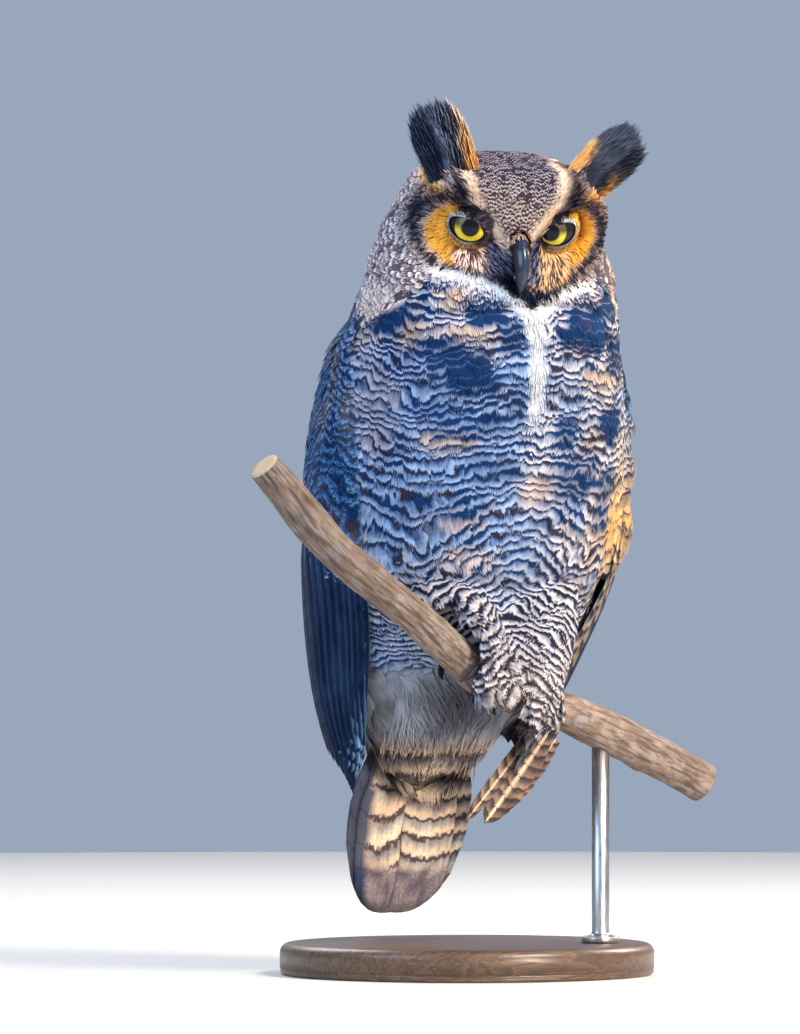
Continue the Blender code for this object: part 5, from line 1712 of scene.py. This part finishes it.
LID_COLOURS = {
    "under": (0.46, 0.29, 0.16),
    "over": (0.01, 0.01, 0.018),
    "crescent": (0.86, 0.8, 0.82),
    "corner": (0.022, 0.02, 0.034),
    "pale_corner": (0.24, 0.17, 0.16),
    "pale_line": (0.9, 0.82, 0.74),
    "rim": (0.01, 0.01, 0.012),
}
for side in ("right", "left"):
    points, outs, aways, details = lid_of(side)
    distance, upper, out_side = details.T
    trembling = distance + 0.35 * cloud(points, 0.0025, 50)
    outer = fade(-0.15, 0.35, out_side)
    inner_corner = fade(-0.35, -0.75, out_side)
    folds = bump_at(trembling, 2.5, 0.4) + bump_at(trembling, 3.9, 0.35)
    corner_share = fade(0.0, 0.7, cloud(points, 0.0016, 52))
    corner_colour = mix(LID_COLOURS["corner"], LID_COLOURS["pale_corner"], corner_share)
    # painted shade: the upper lid is painted near black, as the brow shades it, except the pale crescent outside
    colour = mix(LID_COLOURS["under"], LID_COLOURS["over"], upper)
    for over, share in (
        (LID_COLOURS["crescent"], upper * outer * fade(3.2, 2.4, trembling)),
        (ORANGE, (1 - upper) * fade(3.4, 5.0, trembling) * (0.25 + 0.75 * outer)),
        (ORANGE, upper * fade(0.35, 0.8, out_side) * fade(3.0, 4.0, distance)),
        # painted shade: darker in the creases of the folds and at the inner corner, mottled with pale
        (corner_colour, np.clip(0.95 * (1 - upper) * folds + 0.9 * inner_corner, 0, 1)),
        (LID_COLOURS["pale_line"], (1 - upper) * bump_at(distance, 1.55, 0.4) * (1 - inner_corner)),
        (LID_COLOURS["rim"], fade(1.1, 0.8, distance)),
    ):
        colour = mix(colour, over, share)
    hair_length = 0.0026 + 0.0034 * fade(2, 5, distance) + 0.0022 * upper * (1 - outer)
    fields = {
        "lie": unit(aways),
        "out": outs,
        "ground": colour,
        "mark": colour * 0.35,
        "bars": 0.0,
        "finish": (0.25, 0, 0.15),
        "size": columns(0.0007, hair_length, 0.14 + 0.2 * upper),
    }
    faces = ring_faces(len(LID_ROWS), LID_POINTS)
    if side == "right":
        faces = [face[::-1] for face in faces]
    lid = finished(base_object(f"eyelid_{side}", points, faces, fields))
    bm = bmesh.new()
    bm.from_mesh(lid.data)
    bm.normal_update()
    ahead = HEAD_FRAME.to_3x3() @ Vector((0, -1, 0))
    if sum(face.normal.dot(ahead) for face in bm.faces) < 0:
        bmesh.ops.reverse_faces(bm, faces=bm.faces)
    bm.to_mesh(lid.data)
    bm.free()
    on_lid = (distance > 1.4) * (distance < 8.0) * 1.0
    plant(f"coat_lid_{side}", on_lid, 0.00045, "hair", 51, turn=12, base=lid)

# %% [markdown]
# ## Bill and claws
# Both are horn over bone: smooth, dark and glossy, with a painted highlight along the ridge, which is a little
# paler and bluer there. The bill is lofted through oval sections along its bent line. The claws keep the curve
# of their solids, and subdivision rounds off the facets.

# %% Horn
UPPER_BILL = (  # share of its length, forward, up, half width, half depth, in the head's frame
    (0.0, 0.04, -0.006, 0.0062, 0.0066),
    (0.22, 0.052, -0.0062, 0.0063, 0.0068),
    (0.42, 0.0595, -0.01, 0.0057, 0.0066),
    (0.6, 0.064, -0.0165, 0.0048, 0.0057),
    (0.78, 0.0654, -0.025, 0.0035, 0.0043),
    (0.92, 0.0638, -0.032, 0.002, 0.0024),
    (1.0, 0.0614, -0.0362, 0.0007, 0.0009),
)
LOWER_BILL = (
    (0.0, 0.04, -0.0215, 0.0054, 0.003),
    (0.4, 0.05, -0.022, 0.0052, 0.0032),
    (0.75, 0.0566, -0.025, 0.004, 0.0029),
    (1.0, 0.0602, -0.0295, 0.0014, 0.0012),
)


def horn_material(name, dark, pale):
    paint = Painter(name, Coat_Weight=0.35, Coat_Roughness=0.12)
    growth = paint.split(paint.attribute("growth"))
    lines = paint.join(growth[0], paint.times(growth[1], 0.15), growth[2])
    lines = paint.speckle(lines, 30.0, 3.0)
    # painted highlight: paler and bluer towards the top of the ridge, broken up by the growth lines
    share = paint.times(paint.fade(growth[1], 0.55, 1.0), paint.fade(lines, 0.3, 0.7, 0.5, 1.0))
    return paint.finish(
        Base_Color=paint.mix(share, dark, pale),
        Roughness=paint.fade(paint.speckle(paint.place(), 900.0), 0.3, 0.7, 0.22, 0.38),
        Normal=paint.bump(lines, 0.12, 0.0003),
    )


BILL_AROUND = 36


def bill_rings(stations, last=1.0, swell=0.0, collar=0.0, rings=30):
    """Rings of points round the bent line of a bill, and for each point its place, rise, side and lie."""
    places = np.linspace(0, last, rings)
    forward, above, half_width, half_depth = curve_through(stations, places).T
    line = np.stack([forward, above], axis=1)
    tangent = unit(np.gradient(line, axis=0))
    thicker = swell + collar * fade(0.16, 0.04, places)
    sections, growth, lies = [], [], []
    for i, place in enumerate(places):
        outward = np.array((-tangent[i, 1], tangent[i, 0]))
        ring = []
        for k in range(BILL_AROUND):
            angle = 2 * pi * k / BILL_AROUND
            rise = cos(angle)
            across_bill = sin(angle) * (half_width[i] + thicker[i]) * (1 - 0.3 * max(rise, 0.0) ** 1.5)
            ahead, over = line[i] + outward * rise * (half_depth[i] + thicker[i])
            ring.append(HEAD_FRAME @ Vector((across_bill, -ahead, over)))
            growth.append((place, rise, 0.3 * sin(angle)))
            lies.append(HEAD_FRAME.to_3x3() @ Vector((0, -tangent[i, 0], tangent[i, 1])))
        sections.append(np.array(ring))
    return sections, np.array(growth), np.array(lies)


bill_horn = horn_material("bill_horn", (0.005, 0.007, 0.014), (0.018, 0.034, 0.07))
for half, stations in (("upper", UPPER_BILL), ("lower", LOWER_BILL)):
    sections, growth, _ = bill_rings(stations)
    mesh = rings_mesh(f"{half}_mandible", sections)
    write_attribute(mesh, "growth", growth)
    finished(new_object(f"{half}_mandible", mesh, bill_horn), f"bill_{half}")

# small feathers hide the root of the bill: pale on its ridge, where the brows meet, and dark on its sides
SLEEVE_END, SLEEVE_SWELL, SLEEVE_COLLAR = 0.21, 0.0002, 0.0013
sections, growth, lies = bill_rings(UPPER_BILL, SLEEVE_END, SLEEVE_SWELL, SLEEVE_COLLAR, 16)
points = np.concatenate(sections)
centres = np.stack([ring.mean(axis=0) for ring in sections]).repeat(BILL_AROUND, axis=0)
place, rise, _ = growth.T
on_ridge = fade(0.05, 0.55, rise + 0.2 * cloud(points, 0.003, 56))
near_bill = fade(0.08, 0.2, place + 0.1 * (1 - rise))
fields = {
    "lie": lies,
    "out": unit(points - centres),
    "ground": mix((0.1, 0.09, 0.13), mix((0.5, 0.36, 0.29), (0.66, 0.48, 0.38), near_bill), on_ridge),
    "mark": mix((0.014, 0.016, 0.034), mix((0.05, 0.035, 0.04), (0.16, 0.1, 0.08), near_bill), on_ridge),
    "bars": 0.0,
    "finish": columns(0.1, 0, 0.45 - 0.1 * on_ridge),
    "size": (0.0011, 0.0046, 0.12),
}
sleeve_faces = [tuple(face.vertices) for face in rings_mesh("sleeve", sections).polygons]
sleeve = finished(base_object("bill_sleeve", points, sleeve_faces, fields))
plant("coat_bill", (rise > -0.6) * 1.0, 0.0007, "hair", 57, turn=12, base=sleeve)


def rounded(node, name, material):
    """A subdivided copy of a solid, which stands for it."""
    mesh = bpy.data.meshes.new(name)
    bm = welded(node)
    bmesh.ops.join_triangles(bm, faces=bm.faces, angle_face_threshold=0.7, angle_shape_threshold=0.7)
    bm.to_mesh(mesh)
    bm.free()
    worker = new_object(name, mesh)
    subdivide = worker.modifiers.new("round", "SUBSURF")
    subdivide.levels = subdivide.render_levels = 2
    mesh = applied(worker)
    mesh.shade_smooth()
    finished(new_object(name, mesh, material), node)


claw_horn = horn_material("claw_horn", (0.008, 0.008, 0.01), (0.05, 0.05, 0.06))
for side in ("left", "right"):
    for number in range(1, 5):
        rounded(f"claw_{side}_{number}", f"talon_{side}_{number}", claw_horn)

# %% [markdown]
# ## The branch
# A cut length of dead branch, about as thick as two fingers, with thin bark and sawn ends. The tube follows
# the solid's line with many more rings. Each point is moved in or out: by noise stretched along the branch
# for fine cracks, by low bumps for knots.

# %% The branch
BRANCH_LINE = (
    (-0.176, -0.094, 0.319),
    (-0.128, -0.086, 0.27),
    (-0.067, -0.073, 0.226),
    (-0.03, -0.063, 0.1985),
    (0.003, -0.054, 0.179),
    (0.052, -0.044, 0.164),
    (0.105, -0.033, 0.142),
    (0.152, -0.024, 0.12),
)
BRANCH_RINGS, BRANCH_POINTS = 260, 72
KNOTS = ((0.155, 2.2, 0.0026), (0.3, 4.9, 0.0016), (0.7, 1.2, 0.002), (0.86, 3.9, 0.0022))  # share, turn, height


def branch_centre(shares):
    table = np.column_stack([np.linspace(0, 1, len(BRANCH_LINE)), BRANCH_LINE])
    return curve_through(table, shares)


def branch_thickness(shares):
    thick = 0.0112 + 0.0022 * (shares - 0.45)
    return thick + 0.0011 * np.sin(9.0 * shares + 0.6) ** 6 + 0.0007 * np.sin(23.0 * shares) ** 2


shares = np.linspace(0, 1, BRANCH_RINGS)
centres, thickness = branch_centre(shares), branch_thickness(shares)
along_branch = unit(np.gradient(centres, axis=0))
branch_up = unit(np.array((0, 0, 1.0)) - along_branch * along_branch[:, 2:3])
branch_front = np.cross(along_branch, branch_up)
turn_of = np.linspace(0, 2 * pi, BRANCH_POINTS, endpoint=False)
ring_out = branch_up[:, None] * np.cos(turn_of)[:, None] + branch_front[:, None] * np.sin(turn_of)[:, None]
length_of_branch = np.linalg.norm(np.diff(centres, axis=0), axis=1).sum()
unrolled = columns(np.cos(turn_of) * 0.011, np.sin(turn_of) * 0.011, (shares * length_of_branch)[:, None])
unrolled = unrolled.reshape(-1, 3)
cracks = cloud(unrolled, (0.0016, 0.0016, 0.016), 60)
plates = cloud(unrolled, (0.006, 0.006, 0.014), 61)
grit = cloud(unrolled, (0.0011, 0.0011, 0.0022), 62)
relief = -0.0005 * fade(0.15, 0.75, cracks) + 0.0004 * fade(-0.1, 0.2, plates) + 0.00012 * grit
share_of_point = np.repeat(shares, BRANCH_POINTS)
for at, turned, height in KNOTS:
    gap = np.abs((np.tile(turn_of, BRANCH_RINGS) - turned + pi) % (2 * pi) - pi) * 0.012
    away = np.hypot(gap, (share_of_point - at) * length_of_branch)
    relief = relief + height * np.exp(-((away / 0.007) ** 2)) - 0.8 * height * np.exp(-((away / 0.0024) ** 2))
relief = relief * (1 - 0.6 * bump_at(share_of_point, 0.55, 0.13)) - 0.0002  # less where the feet grip
radii = thickness[:, None] + relief.reshape(BRANCH_RINGS, BRANCH_POINTS)
CUT_RINGS = ((0.97, -0.00024), (0.9, -0.0008), (0.6, -0.0007), (0.3, -0.0006), (0.05, -0.0006))  # size, height


def cut_rings(end, inward):
    """Rings of a sawn end, from its edge to its middle."""
    edge = ring_out[end] * radii[end][:, None]
    return [centres[end] + edge * size + along_branch[end] * inward * sink for size, sink in CUT_RINGS]


bark_rings = list(centres[:, None] + ring_out * radii[..., None])
branch_mesh = rings_mesh("branch", cut_rings(0, 1)[::-1] + bark_rings + cut_rings(-1, -1))
cut_sizes = np.array([size for size, _ in CUT_RINGS])
is_cut = np.concatenate([np.ones(5), np.zeros(BRANCH_RINGS), np.ones(5)])
ring_radius = np.concatenate([cut_sizes[::-1], np.ones(BRANCH_RINGS), cut_sizes])
pad = np.zeros(5 * BRANCH_POINTS)
in_crack = np.concatenate([pad, fade(0.0, 0.6, cracks), pad])
kinds_of_surface = columns(np.repeat(is_cut, BRANCH_POINTS), np.repeat(ring_radius, BRANCH_POINTS), in_crack)
write_attribute(branch_mesh, "kind", kinds_of_surface)
write_attribute(branch_mesh, "unrolled", np.pad(unrolled, ((len(pad), len(pad)), (0, 0))))


def bark_material():
    paint = Painter("bark", Roughness=0.86, Specular_IOR_Level=0.25)
    unrolled, kind = paint.attribute("unrolled"), paint.split(paint.attribute("kind"))
    long_grain = paint.vector("MULTIPLY", unrolled, (1.0, 1.0, 0.16))
    patchy = paint.fade(paint.speckle(unrolled, 95.0, 3.0), 0.38, 0.62)
    lichen = paint.fade(paint.speckle(unrolled, 60.0, 4.0), 0.56, 0.74, 0.0, 0.65)
    streaked = paint.fade(paint.speckle(long_grain, 900.0, 3.0), 0.5, 0.66, 0.0, 0.65)
    colour = paint.mix(patchy, (0.19, 0.135, 0.105), (0.27, 0.21, 0.18))
    colour = paint.mix(lichen, colour, (0.27, 0.28, 0.33))
    colour = paint.mix(streaked, colour, (0.075, 0.052, 0.042))
    colour = paint.mix(paint.times(kind[2], 0.75), colour, (0.06, 0.042, 0.036))
    rings = paint.math("MULTIPLY_ADD", kind[1], 7.0, paint.speckle(paint.place(), 160.0))
    wood = paint.mix(paint.fade(paint.math("FRACT", rings), 0.1, 0.9), (0.42, 0.29, 0.17), (0.62, 0.48, 0.31))
    height = paint.math("ADD", paint.speckle(long_grain, 1100.0, 4.0), paint.speckle(unrolled, 500.0, 4.0))
    return paint.finish(Base_Color=paint.mix(kind[0], colour, wood), Normal=paint.bump(height, 0.5, 0.0006))


finished(new_object("branch", branch_mesh, bark_material()), "perch")
print("branch:", round(1000 * float(length_of_branch)), "mm long")

# %% [markdown]
# ## The stand
# A display stand should be plain and not draw the eye: a turned disc of dark stained wood with a rounded
# upper edge, and a steel rod with a collar that carries the branch. Both are profiles spun round an upright
# line.

# %% The stand
BASE_RADIUS, BASE_THICKNESS, BASE_EDGE = 0.118, 0.02, 0.006
ROD_RADIUS, ROD_SHARE = 0.0055, 0.775


def spun(name, profile, centre_x, centre_y, steps):
    """A turned shape: its profile of radius and height, spun round an upright line."""
    angles = [2 * pi * k / steps for k in range(steps)]
    rings = [[(centre_x + r * cos(a), centre_y + r * sin(a), height) for a in angles] for r, height in profile]
    return rings_mesh(name, rings)


def corner(radius, height, size, start, end, steps=6):
    """Points of a rounded corner round a centre, between two angles in degrees."""
    angles = np.radians(np.linspace(start, end, steps))
    return [(radius + size * cos(a), height + size * sin(a)) for a in angles]


base_profile = [
    (0.001, BASE_THICKNESS),
    (0.05, BASE_THICKNESS),
    *corner(BASE_RADIUS - BASE_EDGE, BASE_THICKNESS - BASE_EDGE, BASE_EDGE, 90, 0, 9),
    (BASE_RADIUS, 0.0045),
    *corner(BASE_RADIUS - 0.0012, 0.0035, 0.001, 60, -60, 5),
    (BASE_RADIUS - 0.0002, 0.002),
    (BASE_RADIUS - 0.002, 0.0),
    (0.001, 0.0),
]
rod_x, rod_y, rod_top = (float(value) for value in branch_centre(np.array([ROD_SHARE]))[0])
collar = ROD_RADIUS * 2.2
foot_height = BASE_THICKNESS + 0.0003
rod_profile = [
    (0.001, foot_height),
    (collar - 0.0006, foot_height),
    (collar, foot_height + 0.0006),
    *corner(collar - 0.001, foot_height + 0.003, 0.001, 0, 90, 4),
    (ROD_RADIUS * 1.5, foot_height + 0.0044),
    *corner(ROD_RADIUS + 0.0022, foot_height + 0.007, 0.0022, 260, 180, 5),
    (ROD_RADIUS, foot_height + 0.01),
    (ROD_RADIUS, rod_top - 0.004),
    (0.001, rod_top - 0.004),
]


def wood_material():
    paint = Painter("stained_wood", Coat_Weight=0.25, Coat_Roughness=0.25)
    place = paint.place()
    bands = paint.speckle(paint.vector("MULTIPLY", place, (0.1, 1.0, 1.0)), 60.0, 3.0)
    rings = paint.fade(paint.math("FRACT", paint.times(bands, 9.0)), 0.0, 1.0)
    fibres = paint.speckle(paint.vector("MULTIPLY", place, (0.03, 1.0, 1.0)), 1500.0, 2.0)
    colour = paint.mix(rings, (0.065, 0.034, 0.02), (0.135, 0.072, 0.04))
    colour = paint.mix(paint.fade(fibres, 0.45, 0.65, 0.0, 0.6), colour, (0.03, 0.016, 0.01))
    rough = paint.fade(fibres, 0.3, 0.7, 0.34, 0.5)
    return paint.finish(Base_Color=colour, Roughness=rough, Normal=paint.bump(fibres, 0.15, 0.0003))


def steel_material():
    paint = Painter("brushed_steel", Metallic=1.0)
    brushed = paint.speckle(paint.vector("MULTIPLY", paint.place(), (1.0, 1.0, 0.04)), 2500.0, 2.0)
    colour = paint.mix(brushed, (0.42, 0.42, 0.43), (0.56, 0.56, 0.57))
    return paint.finish(Base_Color=colour, Roughness=paint.fade(brushed, 0.3, 0.7, 0.26, 0.42))


base_mesh = spun("turned_base", base_profile, 0.0, 0.0, 128)
rod_mesh = spun("turned_rod", rod_profile, rod_x, rod_y, 40)
finished(new_object("turned_base", base_mesh, wood_material()), "stand_base")
finished(new_object("turned_rod", rod_mesh, steel_material()), "stand_rod")
print("stand: base", round(2000 * BASE_RADIUS), "mm wide")

# %% [markdown]
# ## Last steps
# The last cell removes the feather templates, lists the material slot meant for each kind of piece, and
# counts the triangles of the dressed pieces.

# %% Last steps
for library in collections.values():
    for template in list(library.objects):
        bpy.data.objects.remove(template)
SLOTS = {
    "skin coat": "barred_plumage",
    "coat_wing flight wing_fan": "mantle_plumage",
    "tail_feathers": "tail_plumage",
    "coat_head coat_crown coat_face coat_bill eyelid coat_lid bill_sleeve": "face_plumage",
    "tuft coat_tuft fuzz_tuft": "tuft_plumage",
    "eyeball": "eye",
    "upper_mandible lower_mandible talon": "horn",
    "branch": "bark",
    "turned_base": "stained_wood",
    "turned_rod": "steel",
}
slot_of = {start: slot for starts, slot in SLOTS.items() for start in starts.split()}
dressed = [thing for thing in scene.objects if thing.type == "MESH" and thing.name.startswith(tuple(slot_of))]
counts = {thing.name: triangles(thing.data) for thing in dressed}
print("pieces:", len(counts), "triangles:", sum(counts.values()), "most in", max(counts, key=counts.get))
